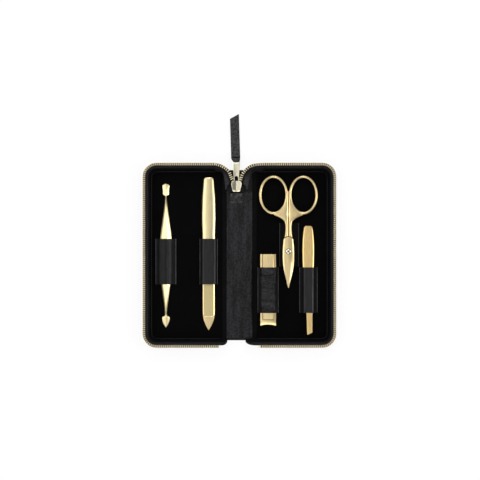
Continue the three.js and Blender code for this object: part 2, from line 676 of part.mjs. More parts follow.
// Where each tool lies across its half: from the lining's fold edge, or from the side wall
const CLIPPER_FLANGE_HALF = 8.8;
const FILE_FROM_FOLD = 10.5;
const PUSHER_FROM_SIDE = 13.4;
const TWEEZERS_FROM_SIDE = 17.2;
const SCISSORS_BETWEEN_SHARE = 0.5015;
const STRAP_LOOP_ASIDE = 0.7;
const CLIPPER_X = LINING_START + CLIPPER_FLANGE_HALF;
const FILE_X = -(LINING_START + FILE_FROM_FOLD);
const PUSHER_X = PUSHER_FROM_SIDE - BASE_HALF_X;
const TWEEZERS_X = BASE_HALF_X - TWEEZERS_FROM_SIDE;
const SCISSORS_X = CLIPPER_X + SCISSORS_BETWEEN_SHARE * (TWEEZERS_X - CLIPPER_X);
const STRAP_LOOP_X = SCISSORS_X + STRAP_LOOP_ASIDE;

const LEFT_LOOPS_LOW = -24.3;
const RIGHT_LOOPS_LOW = -48.1;
const LOOP_LONG = 38;
const TOOL_Z = FLOOR_Z + GLUE + TOOL_LIFT;

// Cuticle pusher: a paddle at the pull end, a pointed spade at the other, thickest in the loop
const PUSHER_LOW = -60.6;
const PUSHER_LONG = 120.2;
const PUSHER_WIDE = 10.2;
const PUSHER_THICK = 3.6;
const PUSHER_FLANGE_HALF = 8.7;
const PUSHER_SHARES = [
  [0, 0.04, 0.2], [0.016, 0.27, 0.26], [0.04, 0.52, 0.32], [0.066, 0.63, 0.4], [0.076, 0.55, 0.45],
  [0.084, 0.25, 0.5], [0.103, 0.205, 0.55], [0.1375, 0.27, 0.62], [0.193, 0.43, 0.75], [0.2625, 0.65, 0.88],
  [0.304, 0.76, 0.94], [0.4, 0.92, 1], [0.485, 1, 1], [0.554, 1, 1], [0.62, 0.96, 0.98], [0.679, 0.81, 0.92],
  [0.7486, 0.6, 0.84], [0.818, 0.38, 0.72], [0.867, 0.25, 0.62], [0.901, 0.18, 0.55], [0.915, 0.2, 0.5],
  [0.926, 0.5, 0.45], [0.957, 0.51, 0.4], [0.985, 0.59, 0.34], [0.995, 0.46, 0.3], [1, 0.24, 0.26],
];
piece("cuticle_pusher", bladeLoft(PUSHER_SHARES, PUSHER_LONG, PUSHER_WIDE, PUSHER_THICK), RED_GOLD)
  .position.set(PUSHER_X, PUSHER_LOW, TOOL_Z);
loop("pusher_loop", { x: PUSHER_X, low: LEFT_LOOPS_LOW, high: LEFT_LOOPS_LOW + LOOP_LONG },
  PUSHER_WIDE / 2 + LOOP_EASE, PUSHER_THICK + TOOL_LIFT + LOOP_EASE, PUSHER_FLANGE_HALF);

// Nail file: a rounded metal handle on the tang of a flat pointed blade
const FILE_LOW = -62.5;
const FILE_BLADE_LONG = 54.5;
const FILE_BLADE_WIDE = 10.2;
const FILE_BLADE_THICK = 1.3;
const FILE_BLADE_LIFT = 0.4;
const FILE_HANDLE_LONG = 73.1;
const FILE_HANDLE_WIDE = 11.5;
const FILE_HANDLE_THICK = 2.6;
const FILE_FLANGE_HALF = 7.6;
const TANG_LONG = 12;
const TANG_WIDE = 6;
const TANG_EASE = 0.1;
const FILE_BLADE_SHARES = [
  [0, 0.04, 0.3], [0.022, 0.2, 0.34], [0.061, 0.43, 0.42], [0.084, 0.54, 0.5], [0.15, 0.81, 0.66],
  [0.2, 0.925, 0.8], [0.215, 0.95, 1], [0.26, 0.985, 1], [0.31, 1, 1], [0.997, 1, 1],
];
const FILE_HANDLE_SHARES = [
  [0, 0.9, 0.9], [0.306, 0.93, 1], [0.397, 0.957, 1], [0.489, 0.993, 1], [0.569, 1, 1], [0.66, 0.98, 1],
  [0.74, 0.95, 1], [0.797, 0.913, 0.98], [0.854, 0.86, 0.94], [0.911, 0.8, 0.88], [0.974, 0.735, 0.78],
  [0.991, 0.67, 0.7], [1, 0.56, 0.6],
];
const fileJoint = FILE_LOW + FILE_BLADE_LONG;
const tang = box(-TANG_WIDE / 2, TANG_WIDE / 2, FILE_BLADE_LONG - CUT, FILE_BLADE_LONG + TANG_LONG, 0, FILE_BLADE_THICK);
const tangSocket = box(
  -TANG_WIDE / 2 - TANG_EASE, TANG_WIDE / 2 + TANG_EASE,
  -CUT, TANG_LONG + TANG_EASE,
  FILE_BLADE_LIFT - TANG_EASE, FILE_BLADE_LIFT + FILE_BLADE_THICK + TANG_EASE,
);
piece("file_blade", joined(
  bladeLoft(FILE_BLADE_SHARES, FILE_BLADE_LONG, FILE_BLADE_WIDE, FILE_BLADE_THICK), tang,
), RED_GOLD).position.set(FILE_X, FILE_LOW, TOOL_Z + FILE_BLADE_LIFT);
piece("file_handle", cut(
  bladeLoft(FILE_HANDLE_SHARES, FILE_HANDLE_LONG, FILE_HANDLE_WIDE, FILE_HANDLE_THICK), tangSocket,
), RED_GOLD).position.set(FILE_X, fileJoint, TOOL_Z);
loop("file_loop", { x: FILE_X, low: LEFT_LOOPS_LOW, high: LEFT_LOOPS_LOW + LOOP_LONG },
  FILE_HANDLE_WIDE / 2, FILE_HANDLE_THICK + TOOL_LIFT + LOOP_EASE, FILE_FLANGE_HALF);

// Scissors: two halves that cross at a screw, lying on their flat leather loop
const STRAP_LOOP_LOW = -9.6;
const STRAP_LOOP_LONG = 36.6;
const STRAP_LOOP_INNER_HALF = 6.4;
const STRAP_LOOP_INNER_HIGH = 0.6;
const STRAP_LOOP_FLANGE_HALF = 8.3;
loop("scissors_loop", { x: STRAP_LOOP_X, low: STRAP_LOOP_LOW, high: STRAP_LOOP_LOW + STRAP_LOOP_LONG },
  STRAP_LOOP_INNER_HALF, STRAP_LOOP_INNER_HIGH, STRAP_LOOP_FLANGE_HALF);

const SCISSORS_Y = 3.2;
const SCISSORS_THICK = 3.2;
const BLADE_THICK = 1.5;
const PART_GAP = 0.3;
const JOGGLE_RADIUS = 12.2;
const RING_X = 12.5;
const RING_Y = 47.1;
const RING_OUTER = [12.35, 16.6];
const RING_INNER = [9.7, 13.9];
const RING_THICK = 2.8;
const RING_STEPS = 28;
const HOLLOW_STEPS = 64;
const JOGGLE_STEPS = 48;
const SCREW_STEPS = 16;
const SCREW_RADIUS = 1.2;
const SCREW_HEAD_RADIUS = 1.9;
const SCREW_HEAD_HIGH = 0.6;
const SCREW_EASE = 0.12;
const SCREW_SLOT = 0.4;
const SCISSORS_Z = FLOOR_Z + GLUE + STRAP_LOOP_INNER_HIGH + LOOP_LEATHER + TOOL_LIFT;
// The left shank's outline as shares of the ring's place, from the joggle round the ring and back.
const SHANK_SHARES = [
  [0.34, 0.17], [0.3, 0.24], [0.232, 0.34], [0.228, 0.46], [0.296, 0.53], [0.56, 0.592], [1, 0.645],
  [1.23, 0.655], [0.8, 0.71], [0.35, 0.82], [0.2, 0.95], [0.1, 1.03], [0, 1.085], [0, 0.17],
];
// The closed blades' outline: half-width and place as shares of the blade's width and length.
const BLADE_WIDE = 9.4;
const BLADE_LONG = 30.6;
const BLADE_SHARES = [
  [0.36, -0.42], [0.41, -0.31], [0.465, -0.17], [0.495, -0.01], [0.5, 0.15], [0.485, 0.29], [0.45, 0.4],
  [0.4, 0.51], [0.31, 0.64], [0.19, 0.78], [0.09, 0.92], [0.015, 1],
];

function ellipse([radiusX, radiusY], low, high) {
  const shape = new THREE.Shape();
  shape.absellipse(0, 0, radiusX, radiusY, 0, 2 * Math.PI, false);
  return plate(shape, low, high, RING_STEPS);
}

// One half as it lies: its ring is on one side, and its blade fills one of the two layers.
function scissorHalf(side, low) {
  const outline = new THREE.Shape(flat(
    SHANK_SHARES.map(([x, y]) => [side * (x * RING_X + PART_GAP / 2), y * RING_Y]),
  ));
  const ring = ellipse(RING_OUTER, 0, RING_THICK).translate(side * RING_X, RING_Y, 0);
  const hole = ellipse(RING_INNER, -CUT, SCISSORS_THICK + CUT).translate(side * RING_X, RING_Y, 0);
  const joggle = disc(JOGGLE_RADIUS, -CUT, SCISSORS_THICK + CUT, JOGGLE_STEPS);
  const bladeArea = [
    ...BLADE_SHARES.map(([x, y]) => [x * BLADE_WIDE, -y * BLADE_LONG]),
    ...BLADE_SHARES.map(([x, y]) => [-x * BLADE_WIDE, -y * BLADE_LONG]).reverse(),
  ];
  const within = solid(disc(JOGGLE_RADIUS - PART_GAP, -CUT, SCISSORS_THICK + CUT, JOGGLE_STEPS))
    .add(solid(box(-BLADE_WIDE, BLADE_WIDE, -BLADE_LONG - CUT, 0, -CUT, SCISSORS_THICK + CUT)));
  const blade = solid(plate(new THREE.Shape(flat(bladeArea)), low, low + BLADE_THICK)).intersect(within);
  const bore = disc(SCREW_RADIUS + SCREW_EASE, -CUT, SCISSORS_THICK + CUT, SCREW_STEPS);
  return skin(
    solid(plate(outline, 0, SCISSORS_THICK)).add(solid(ring)).subtract(solid(joggle))
      .add(solid(plate(outline, low, low + BLADE_THICK)))
      .subtract(solid(hole))
      .add(blade)
      .subtract(solid(bore)),
  );
}

const scissors = new THREE.Group();
scissors.position.set(SCISSORS_X, SCISSORS_Y, SCISSORS_Z);
manicureCase.add(scissors);
piece("scissors_front_half", scissorHalf(-1, SCISSORS_THICK - BLADE_THICK), RED_GOLD, scissors);
piece("scissors_back_half", scissorHalf(1, 0), RED_GOLD, scissors);
const screwTop = SCISSORS_THICK + GLUE + SCREW_HEAD_HIGH;
piece("scissors_screw", cut(
  joined(
    disc(SCREW_RADIUS, SCREW_EASE, screwTop, SCREW_STEPS),
    disc(SCREW_HEAD_RADIUS, SCISSORS_THICK + GLUE, screwTop, SCREW_STEPS),
  ),
  box(-SCREW_SLOT / 2, SCREW_SLOT / 2, -SCREW_HEAD_RADIUS - CUT, SCREW_HEAD_RADIUS + CUT, screwTop - SCREW_SLOT, screwTop + CUT),
), BRIGHT_METAL, scissors);

// Nail clipper: two sprung leaves riveted at the pull end, a post, and the lever folded on top
const CLIPPER_LOW = -58.7;
const CLIPPER_LONG = 59.5;
const CLIPPER_WIDE = 12.9;
const LOWER_LEAF = 1.5;
const UPPER_LEAF = 1.3;
const LEAF_FLAT = 14;
const LEAF_RISE = 28;
const LEAF_ARCH = 1.85;
const JAW_SLOPE = 4;
const JAW_LOW_EDGE = 3;
const JAW_GAP = 0.4;
const JAW_EDGE = 0.45;
const JAW_HOLLOW = 1;
const JAW_HOLLOW_RADIUS = 22;
const RIVET_RADIUS = 1.5;
const RIVET_HEAD_RADIUS = 2.3;
const RIVET_HEAD = 0.45;
const RIVET_BACK = 8;
const POST_SHAFT_RADIUS = 1.6;
const POST_EASE = 0.12;
const LEAF_POST_EASE = 0.5;
const POST_FOOT_RADIUS = 2.6;
const POST_FOOT = 0.5;
const POST_AHEAD = 10;
const POST_BAR = 0.7;
const POST_BAR_HALF = 3.8;
const LEVER_AHEAD = 5.2;
const LEVER_HALF = 4.9;
const LEVER_HIGH = 2;
const LEVER_PLATE = 0.9;
const LEVER_FLANGE = 0.8;
const LEVER_GAP = 0.15;
const CLIPPER_LOOP_LEATHER_GAP = 0.25;
const clipper = new THREE.Group();
clipper.position.set(CLIPPER_X, CLIPPER_LOW, TOOL_Z + POST_FOOT);
manicureCase.add(clipper);
const leafTop = LOWER_LEAF + GLUE + LEAF_ARCH + UPPER_LEAF;
const leverZ = leafTop + LEVER_GAP;
const rivetY = CLIPPER_LONG - RIVET_BACK;
const hollow = (low, high) => disc(JAW_HOLLOW_RADIUS, low, high, HOLLOW_STEPS)
  .translate(0, JAW_HOLLOW - JAW_HOLLOW_RADIUS, 0);
const boreAt = (radius, y) => disc(radius, -CUT, leverZ + LEVER_HIGH + CUT, SCREW_STEPS).translate(0, y, 0);
const lowerLeafSide = [
  [CLIPPER_LONG, 0], [JAW_SLOPE, 0], [0, JAW_LOW_EDGE - JAW_EDGE], [0, JAW_LOW_EDGE],
  [JAW_SLOPE + LOWER_LEAF, LOWER_LEAF], [CLIPPER_LONG, LOWER_LEAF],
];
const leafLow = LOWER_LEAF + GLUE;
const jawHigh = JAW_LOW_EDGE + JAW_GAP;
const upperLeafSide = [
  [CLIPPER_LONG, leafLow], [CLIPPER_LONG, leafLow + UPPER_LEAF],
  [CLIPPER_LONG - LEAF_FLAT, leafLow + UPPER_LEAF], [CLIPPER_LONG - LEAF_RISE, leafTop],
  [JAW_SLOPE, leafTop], [0, jawHigh + JAW_EDGE], [0, jawHigh],
  [JAW_SLOPE, leafTop - UPPER_LEAF], [CLIPPER_LONG - LEAF_RISE, leafTop - UPPER_LEAF],
  [CLIPPER_LONG - LEAF_FLAT, leafLow],
];
piece("clipper_lower_leaf", cut(
  stripAcrossX(lowerLeafSide, CLIPPER_WIDE / 2),
  hollow(-CUT, leafTop + CUT),
  boreAt(RIVET_RADIUS + POST_EASE, rivetY),
  boreAt(POST_SHAFT_RADIUS + POST_EASE, POST_AHEAD),
), RED_GOLD, clipper);
piece("clipper_upper_leaf", cut(
  stripAcrossX(upperLeafSide, CLIPPER_WIDE / 2),
  hollow(-CUT, leafTop + CUT),
  boreAt(RIVET_RADIUS + POST_EASE, rivetY),
  boreAt(POST_SHAFT_RADIUS + LEAF_POST_EASE, POST_AHEAD),
), RED_GOLD, clipper);
const rivetTop = leafLow + UPPER_LEAF + GLUE;
piece("clipper_rivet", joined(
  disc(RIVET_RADIUS, GLUE, rivetTop + RIVET_HEAD, SCREW_STEPS),
  disc(RIVET_HEAD_RADIUS, rivetTop, rivetTop + RIVET_HEAD, SCREW_STEPS),
), RED_GOLD, clipper).position.y = rivetY;
const postTop = leverZ + LEVER_HIGH - LEVER_PLATE - 2 * GLUE;
piece("clipper_post", joined(
  disc(POST_SHAFT_RADIUS, -POST_FOOT, postTop, SCREW_STEPS),
  disc(POST_FOOT_RADIUS, -POST_FOOT, -GLUE, SCREW_STEPS),
  box(-POST_BAR_HALF, POST_BAR_HALF, -POST_BAR, POST_BAR, postTop - POST_BAR, postTop),
), RED_GOLD, clipper).position.y = POST_AHEAD;
const leverUnder = LEVER_HIGH - LEVER_PLATE;
const leverInner = LEVER_HALF - LEVER_FLANGE;
piece("clipper_lever", barAlongY([
  [-LEVER_HALF, 0], [-leverInner, 0], [-leverInner, leverUnder], [leverInner, leverUnder], [leverInner, 0],
  [LEVER_HALF, 0], [LEVER_HALF, leverUnder], [leverInner, LEVER_HIGH], [-leverInner, LEVER_HIGH], [-LEVER_HALF, leverUnder],
], LEVER_AHEAD, CLIPPER_LONG), RED_GOLD, clipper).position.z = leverZ;
loop("clipper_loop", { x: CLIPPER_X, low: RIGHT_LOOPS_LOW, high: RIGHT_LOOPS_LOW + LOOP_LONG },
  CLIPPER_WIDE / 2 + LOOP_EASE, TOOL_LIFT + POST_FOOT + leverZ + LEVER_HIGH + CLIPPER_LOOP_LEATHER_GAP,
  CLIPPER_FLANGE_HALF);

// Tweezers: two arms joined at the pull end, one above the other, with slanted tips
const TWEEZERS_LOW = -66.5;
const TWEEZERS_LONG = 90.9;
const TWEEZERS_WIDE = 9.8;
const ARM_THICK = 1.3;
const TWEEZERS_FLANGE_HALF = 7.7;
// Rows from the tips: length share, width share, shift share, upper arm's lift share, slant.
const ARM_SHARES = [
  [0.0106, 0.43, 0.1, 2.4, 0.46], [0.055, 0.48, 0.09, 2.42, 0], [0.2, 0.54, 0.066, 2.55, 0],
  [0.32, 0.63, 0.04, 2.6, 0], [0.458, 0.77, 0.01, 2.5, 0], [0.614, 0.94, -0.017, 2.2, 0],
  [0.733, 1, -0.017, 1.75, 0], [0.825, 1, -0.017, 1.4, 0], [0.89, 0.95, -0.017, 1.16, 0],
  [0.945, 0.855, -0.017, 1.04, 0], [0.983, 0.74, -0.017, 1.04, 0], [0.997, 0.6, -0.017, 1.04, 0],
  [1, 0.5, -0.017, 1.04, 0],
];
const ARM_TIP_SHARE = 0.7;
const armRows = (upper) => ARM_SHARES.map(([at, broad, shift, lift, slant], i) =>
  [at, broad, i < 2 ? ARM_TIP_SHARE : 1, upper ? lift : 0, shift, slant],
);
const tweezers = new THREE.Group();
tweezers.position.set(TWEEZERS_X, TWEEZERS_LOW, TOOL_Z);
manicureCase.add(tweezers);
piece("tweezers_lower_arm", bladeLoft(armRows(false), TWEEZERS_LONG, TWEEZERS_WIDE, ARM_THICK), RED_GOLD, tweezers);
piece("tweezers_upper_arm", bladeLoft(armRows(true), TWEEZERS_LONG, TWEEZERS_WIDE, ARM_THICK), RED_GOLD, tweezers);
const highestLift = Math.max(...ARM_SHARES.map(([, , , lift]) => lift));
loop("tweezers_loop", { x: TWEEZERS_X, low: RIGHT_LOOPS_LOW, high: RIGHT_LOOPS_LOW + LOOP_LONG },
  TWEEZERS_WIDE / 2 + LOOP_EASE, TOOL_LIFT + (highestLift + 1) * ARM_THICK + LOOP_EASE, TWEEZERS_FLANGE_HALF);

export default manicureCase;
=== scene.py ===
# %% [markdown]
# An open zip case for nail tools: two shallow leather halves on a spine, a metal zip round the
# rim, and five gold plated tools in leather loops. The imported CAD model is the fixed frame. The
# hard and soft pieces that show are modelled round it here, in metres, in the same frame.

# %% Load the frame
import contextlib
import json
import math

import bpy
from mathutils import Matrix, Vector, noise


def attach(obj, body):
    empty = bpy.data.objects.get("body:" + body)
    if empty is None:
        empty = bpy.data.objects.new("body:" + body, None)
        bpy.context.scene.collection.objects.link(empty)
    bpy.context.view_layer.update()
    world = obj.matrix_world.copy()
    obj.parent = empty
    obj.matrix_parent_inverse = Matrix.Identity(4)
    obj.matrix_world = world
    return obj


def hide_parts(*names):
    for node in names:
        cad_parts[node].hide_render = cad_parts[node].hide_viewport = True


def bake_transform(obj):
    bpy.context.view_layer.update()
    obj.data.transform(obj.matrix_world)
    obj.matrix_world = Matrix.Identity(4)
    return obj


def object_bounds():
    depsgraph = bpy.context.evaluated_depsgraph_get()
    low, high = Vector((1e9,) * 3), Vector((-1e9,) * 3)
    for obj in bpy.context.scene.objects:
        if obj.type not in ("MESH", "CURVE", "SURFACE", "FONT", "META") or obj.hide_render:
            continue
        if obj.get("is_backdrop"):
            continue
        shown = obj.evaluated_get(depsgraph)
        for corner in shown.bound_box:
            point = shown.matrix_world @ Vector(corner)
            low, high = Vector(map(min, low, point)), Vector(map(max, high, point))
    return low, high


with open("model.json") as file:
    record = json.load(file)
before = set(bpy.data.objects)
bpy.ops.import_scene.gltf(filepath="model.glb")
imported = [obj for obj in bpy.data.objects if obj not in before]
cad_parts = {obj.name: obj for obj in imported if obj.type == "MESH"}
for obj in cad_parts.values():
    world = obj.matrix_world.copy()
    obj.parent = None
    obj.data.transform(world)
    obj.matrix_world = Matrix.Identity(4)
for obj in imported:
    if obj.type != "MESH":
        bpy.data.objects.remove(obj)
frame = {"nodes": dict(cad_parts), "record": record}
nodes = frame["nodes"]
cad_box = [list(corner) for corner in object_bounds()]
MM = 0.001
print("CAD box", [[round(x / MM, 1) for x in corner] for corner in cad_box])

# %% [markdown]
# The photograph looks straight down on the open case with a long lens, so that the rim and the
# floor of the case have nearly one scale. A long lens at a distance gives the same flat view.
# The picture is 400.8 mm wide at the height of the tools.

# %% Camera
VIEW_WIDE = 0.4008
VIEW_CENTRE = (0.0005, 0.0127)
VIEW_PLANE = 0.006
LENS = 135
SENSOR = 36
distance = VIEW_WIDE * LENS / SENSOR
bpy.ops.object.camera_add(
    location=(*VIEW_CENTRE, VIEW_PLANE + distance), rotation=(0, 0, 0)
)
camera = bpy.context.object
camera.data.lens = LENS
camera.data.sensor_width = SENSOR
camera.data.clip_end = 10
bpy.context.scene.camera = camera
bpy.context.scene.view_settings.view_transform = "Standard"
print("camera height", round(distance, 3))


# %% [markdown]
# A material is a small tree of shader nodes. One function adds a node with its settings and its
# links, and another turns a colour as a picture editor writes it, in hex, into the linear values
# that the shader works with. Patterns are set in real millimetres.

# %% Material helpers
def linear(code):
    """The shader's linear colour for an sRGB hex code."""
    parts = [int(code[i : i + 2], 16) / 255 for i in (0, 2, 4)]
    return (*[c / 12.92 if c <= 0.04045 else ((c + 0.055) / 1.055) ** 2.4 for c in parts], 1)


def add(tree, kind, inputs=(), **settings):
    """A new shader node, with its settings made and its sockets set or linked."""
    node = tree.nodes.new("ShaderNode" + kind)
    for name, value in settings.items():
        setattr(node, name, value)
    for socket, value in dict(inputs).items():
        if isinstance(value, bpy.types.NodeSocket):
            tree.links.new(value, node.inputs[socket])
        else:
            node.inputs[socket].default_value = value
    return node


def new_material(name):
    """An empty material, its tree, and the object coordinates of the piece."""
    material = bpy.data.materials.new(name)
    material.use_nodes = True
    tree = material.node_tree
    tree.nodes.clear()
    return material, tree, add(tree, "TexCoord").outputs["Object"]


def finished(material, tree, colour, roughness, normal, **more):
    """Ends a material with one principled shader."""
    sockets = {"Base Color": colour, "Roughness": roughness, "Normal": normal}
    sockets.update({name.replace("_", " "): value for name, value in more.items()})
    shader = add(tree, "BsdfPrincipled", sockets)
    add(tree, "OutputMaterial", {"Surface": shader.outputs[0]})
    return material


def per_mm(size):
    """The scale that makes a pattern repeat every so many millimetres."""
    return 1 / (size * MM)


def noise_of(tree, place, size, detail):
    """Noise that changes over size millimetres."""
    sockets = {"Vector": place, "Scale": per_mm(size), "Detail": detail}
    return add(tree, "TexNoise", sockets).outputs["Fac"]


def mixed(tree, share, first, second, blend="MIX"):
    sockets = {"Fac": share, "Color1": first, "Color2": second}
    return add(tree, "MixRGB", sockets, blend_type=blend).outputs[0]


def spread(tree, value, low, high):
    """A value from 0 to 1, spread from low to high."""
    return add(tree, "MapRange", {"Value": value, "To Min": low, "To Max": high}).outputs[0]


def raised(tree, height, deep, invert=False, **sockets):
    """A bump that is deep millimetres high."""
    sockets.update(Height=height, Distance=deep * MM)
    return add(tree, "Bump", sockets, invert=invert).outputs[0]


def two_colours(tree, factor, low, high, start=0.3, end=0.7):
    """A colour that goes from low to high as factor goes from start to end."""
    ramp = add(tree, "ValToRGB", {"Fac": factor})
    for stop, at, code in zip(ramp.color_ramp.elements, (start, end), (low, high)):
        stop.position, stop.color = at, linear(code)
    return ramp.outputs["Color"]


# %% [markdown]
# All leather here is black calf with a grain of small rounded cells and fine creases between them.
# The cells come from a Voronoi pattern, bent a little by noise so that no two are alike, and the
# creases from slower noise. Finished leather has a soft gloss on the tops of the cells. Where it is
# stretched, folded or rolled, the grain, the gloss and the creases differ, so each use has a row.
# Some rows carry painted light: a paler tone as painted highlight on the tab, the rolled edges and
# the clipper's creases, and near-black as painted shade in the folds, under the scissors and at the
# cut ends.

# %% Leathers
CELL_BEND, CELL_BEND_SIZE = 0.0025, 6
GROOVE_ROUGHER = 0.22
PORE_SIZE, PORE_DEEP = 0.35, 0.02
EVEN, ALONG, ACROSS, LONG = (1, 1), (1, 0.3), (0.25, 1), (1, 0.14)


def leather_material(name, dark, light, cell, deep, roughness, gloss, crease_deep, crease, lie):
    """Leather with cells and creases of so many millimetres; lie stretches the creases in x and y."""
    material, tree, place = new_material(name)
    bend = add(tree, "TexNoise", {"Vector": place, "Scale": per_mm(CELL_BEND_SIZE), "Detail": 3})
    bent = mixed(tree, CELL_BEND, place, bend.outputs["Color"], "ADD")
    sockets = {"Vector": bent, "Scale": per_mm(cell), "Smoothness": 0.5}
    cells = add(tree, "TexVoronoi", sockets, feature="SMOOTH_F1").outputs["Distance"]
    rough = spread(tree, cells, roughness, roughness + GROOVE_ROUGHER)
    pores = raised(tree, noise_of(tree, place, PORE_SIZE, 2), PORE_DEEP, Strength=0.5)
    pebbles = raised(tree, cells, deep, invert=True, Normal=pores)
    # A millimetre of grain is one pixel here, so the colour also varies over a few millimetres.
    long_way = add(tree, "Mapping", {"Vector": place, "Scale": (*lie, 1)}).outputs[0]
    mottle = noise_of(tree, long_way, crease, 3)
    creased = raised(tree, mottle, crease_deep, Normal=pebbles)
    tone = two_colours(tree, mixed(tree, 0.6, cells, mottle), light, dark, 0.32, 0.62)
    return finished(material, tree, tone, rough, creased, Specular_IOR_Level=gloss)


# Dark and light hex, cell and its depth, roughness, gloss, depth and length of the creases, lie.
LEATHER_ROWS = {
    # the covers: even round pebbles with a low sheen
    "pebbled_calf": ("060507", "1c1b1d", 1.3, 0.16, 0.42, 0.17, 0.5, 2.6, EVEN),
    # the spine's lining: long streaks where it bends each time the case is closed
    "creased_spine": ("030303", "242226", 1.3, 0.16, 0.4, 0.18, 0.8, 3.4, LONG),
    # the tab: pulled over the zip's end, so its grain is open; its paler tone is a painted highlight
    # on its mound
    "tab_painted_highlight": ("080708", "403c3d", 1.3, 0.16, 0.36, 0.26, 0.4, 3.4, LONG),
    # the strap: coarse deep pebbles, the palest leather in the picture
    "strap_pebbled": ("030303", "39393a", 1.0, 0.3, 0.42, 0.3, 0.35, 1.9, EVEN),
    # most loops: smooth, with one long soft highlight
    "smooth_loop": ("0a090a", "151416", 0.9, 0.04, 0.28, 0.3, 0.2, 3.0, ALONG),
    # the pusher's loop: the same strip, less polished
    "narrow_loop": ("060506", "0e0d0f", 0.9, 0.04, 0.32, 0.19, 0.2, 3.0, ALONG),
    # the clipper's loop: wrinkled across, where it is bent over thick hard edges; its wide
    # pale-to-dark range is partly painted highlight on the creases
    "creased_loop_painted_highlight": ("010101", "2d2b2d", 0.9, 0.12, 0.24, 0.12, 2.2, 2.6, ACROSS),
    # rolled edges: paler leather, a painted highlight line beside each loop
    "rolled_edge_highlight": ("1c1b1d", "413f43", 0.9, 0.04, 0.35, 0.3, 0.1, 3.0, ALONG),
    # the walls: thin, smooth and nearly matt
    "thin_wall": ("060507", "0e0d10", 1.0, 0.08, 0.4, 0.14, 0.1, 2.6, ALONG),
    # the gussets by the slider: gathered, with glossy folds
    "folded_gusset": ("0a090b", "201d21", 1.2, 0.1, 0.36, 0.28, 0.3, 2.6, ALONG),
    # the loops' flanges: pressed flat, darker than the loops
    "sewn_down_flange": ("060506", "0d0c0e", 0.9, 0.04, 0.4, 0.12, 0.05, 2.6, ALONG),
    # painted shade: near-black for the folds by the spine, the scissors' loop under the scissors, and
    # the shadows at cut ends
    "painted_shade_black": ("040304", "070608", 0.9, 0.04, 0.5, 0.05, 0.05, 2.6, ALONG),
}
leather = {name: leather_material(f"{name}_leather", *row) for name, row in LEATHER_ROWS.items()}
print("leathers", len(leather))


# %% [markdown]
# The lining is suede: split leather with a short nap that swallows light. It is nearly black, so
# its form shows only in the slow blotches where the nap lies over. The stiffening board is pressed
# black fibre, seen only as a dark edge. The zip's tape is woven: ribs crossed by finer threads.

# %% Suede, board and tape
def cloth_material(name, dark, light, nap, blotch, deep):
    """A fibrous matt surface with a nap and blotches of so many millimetres."""
    material, tree, place = new_material(name)
    fibres = noise_of(tree, place, nap, 4)
    both = mixed(tree, 0.5, fibres, noise_of(tree, place, blotch, 2))
    tone = two_colours(tree, both, dark, light)
    return finished(material, tree, tone, 0.95, raised(tree, fibres, deep), Specular_IOR_Level=0.06)


# a soft black that hides the floor of the case
suede = cloth_material("split_suede", "010101", "040304", 0.4, 14, 0.06)
# a dull dark edge between lining and cover
black_board = cloth_material("pressed_black_board", "080708", "121112", 0.7, 9, 0.03)

RIB, THREAD, WAVE_TURN = 0.6, 0.5, 6.3


def weave_material(name, dark, light):
    """Woven polyester: ribs across the tape, crossed by finer threads."""
    material, tree, place = new_material(name)
    ribs = {"Vector": place, "Scale": per_mm(RIB) / WAVE_TURN, "Distortion": 0.6}
    threads = {"Vector": place, "Scale": per_mm(THREAD) / WAVE_TURN, "Distortion": 0.4}
    woven = mixed(
        tree, 1, add(tree, "TexWave", ribs).outputs["Fac"],
        add(tree, "TexWave", threads, bands_direction="Y").outputs["Fac"], "MULTIPLY",
    )
    tone = two_colours(tree, woven, dark, light)
    return finished(material, tree, tone, 0.8, raised(tree, woven, 0.12), Specular_IOR_Level=0.2)


# a dark ribbed band between the leather and the bright teeth
zip_tape_weave = weave_material("woven_zip_tape", "070608", "111013")
print("cloths", 3)


# %% [markdown]
# The tools are steel with a champagne gold plating over a satin ground surface. The grinding
# leaves faint lines along the tool and a roughness that changes slowly. The zip and its slider are
# plated die castings, paler and smoother, and the file's face is the same gold over an etched grit.

# %% Metals
WEAR_SIZE, ROUGHNESS_SPREAD = 11, 0.05


def metal_material(name, dark, light, roughness, line_wide, line_long, deep, uneven=ROUGHNESS_SPREAD):
    """Plated metal with ground lines of so many millimetres across and along."""
    material, tree, place = new_material(name)
    line_scale = (per_mm(line_wide), per_mm(line_long), per_mm(line_wide))
    stretched = add(tree, "Mapping", {"Vector": place, "Scale": line_scale}).outputs[0]
    lines = add(tree, "TexNoise", {"Vector": stretched, "Scale": 1, "Detail": 3}).outputs["Fac"]
    rough = spread(tree, noise_of(tree, place, WEAR_SIZE, 2), roughness - uneven, roughness + uneven)
    tone = two_colours(tree, lines, dark, light)
    return finished(material, tree, tone, rough, raised(tree, lines, deep, Strength=0.6), Metallic=1)


# scissors, clipper and file blade: the mean gold, with soft lines along the tool
satin_gold = metal_material("satin_champagne_gold_plate", "d4bb86", "e6d3a4", 0.33, 0.3, 9, 0.006)
# pusher and file handle: a paler, greener gold
pale_gold = metal_material("satin_pale_gold_plate", "d6c492", "e6d9ae", 0.36, 0.3, 9, 0.006)
# tweezers: the warmest gold
warm_gold = metal_material("satin_warm_gold_plate", "d6b476", "ecd093", 0.33, 0.3, 9, 0.006)
# the file's face: matt and darker, without a highlight
grit_gold = metal_material("etched_file_grit_gold", "b0a274", "ccbd90", 0.6, 0.3, 0.3, 0.06)
# the zip's teeth: small bright dots
teeth_gold = metal_material("pale_gold_zip_teeth", "f0deb2", "fff0cf", 0.3, 0.5, 0.5, 0.004)
# slider, pull and screw: the palest and smoothest, almost a mirror
slider_plate = metal_material(
    "bright_plated_die_casting", "e2dabc", "f0ead2", 0.15, 0.8, 0.8, 0.002, 0.04
)
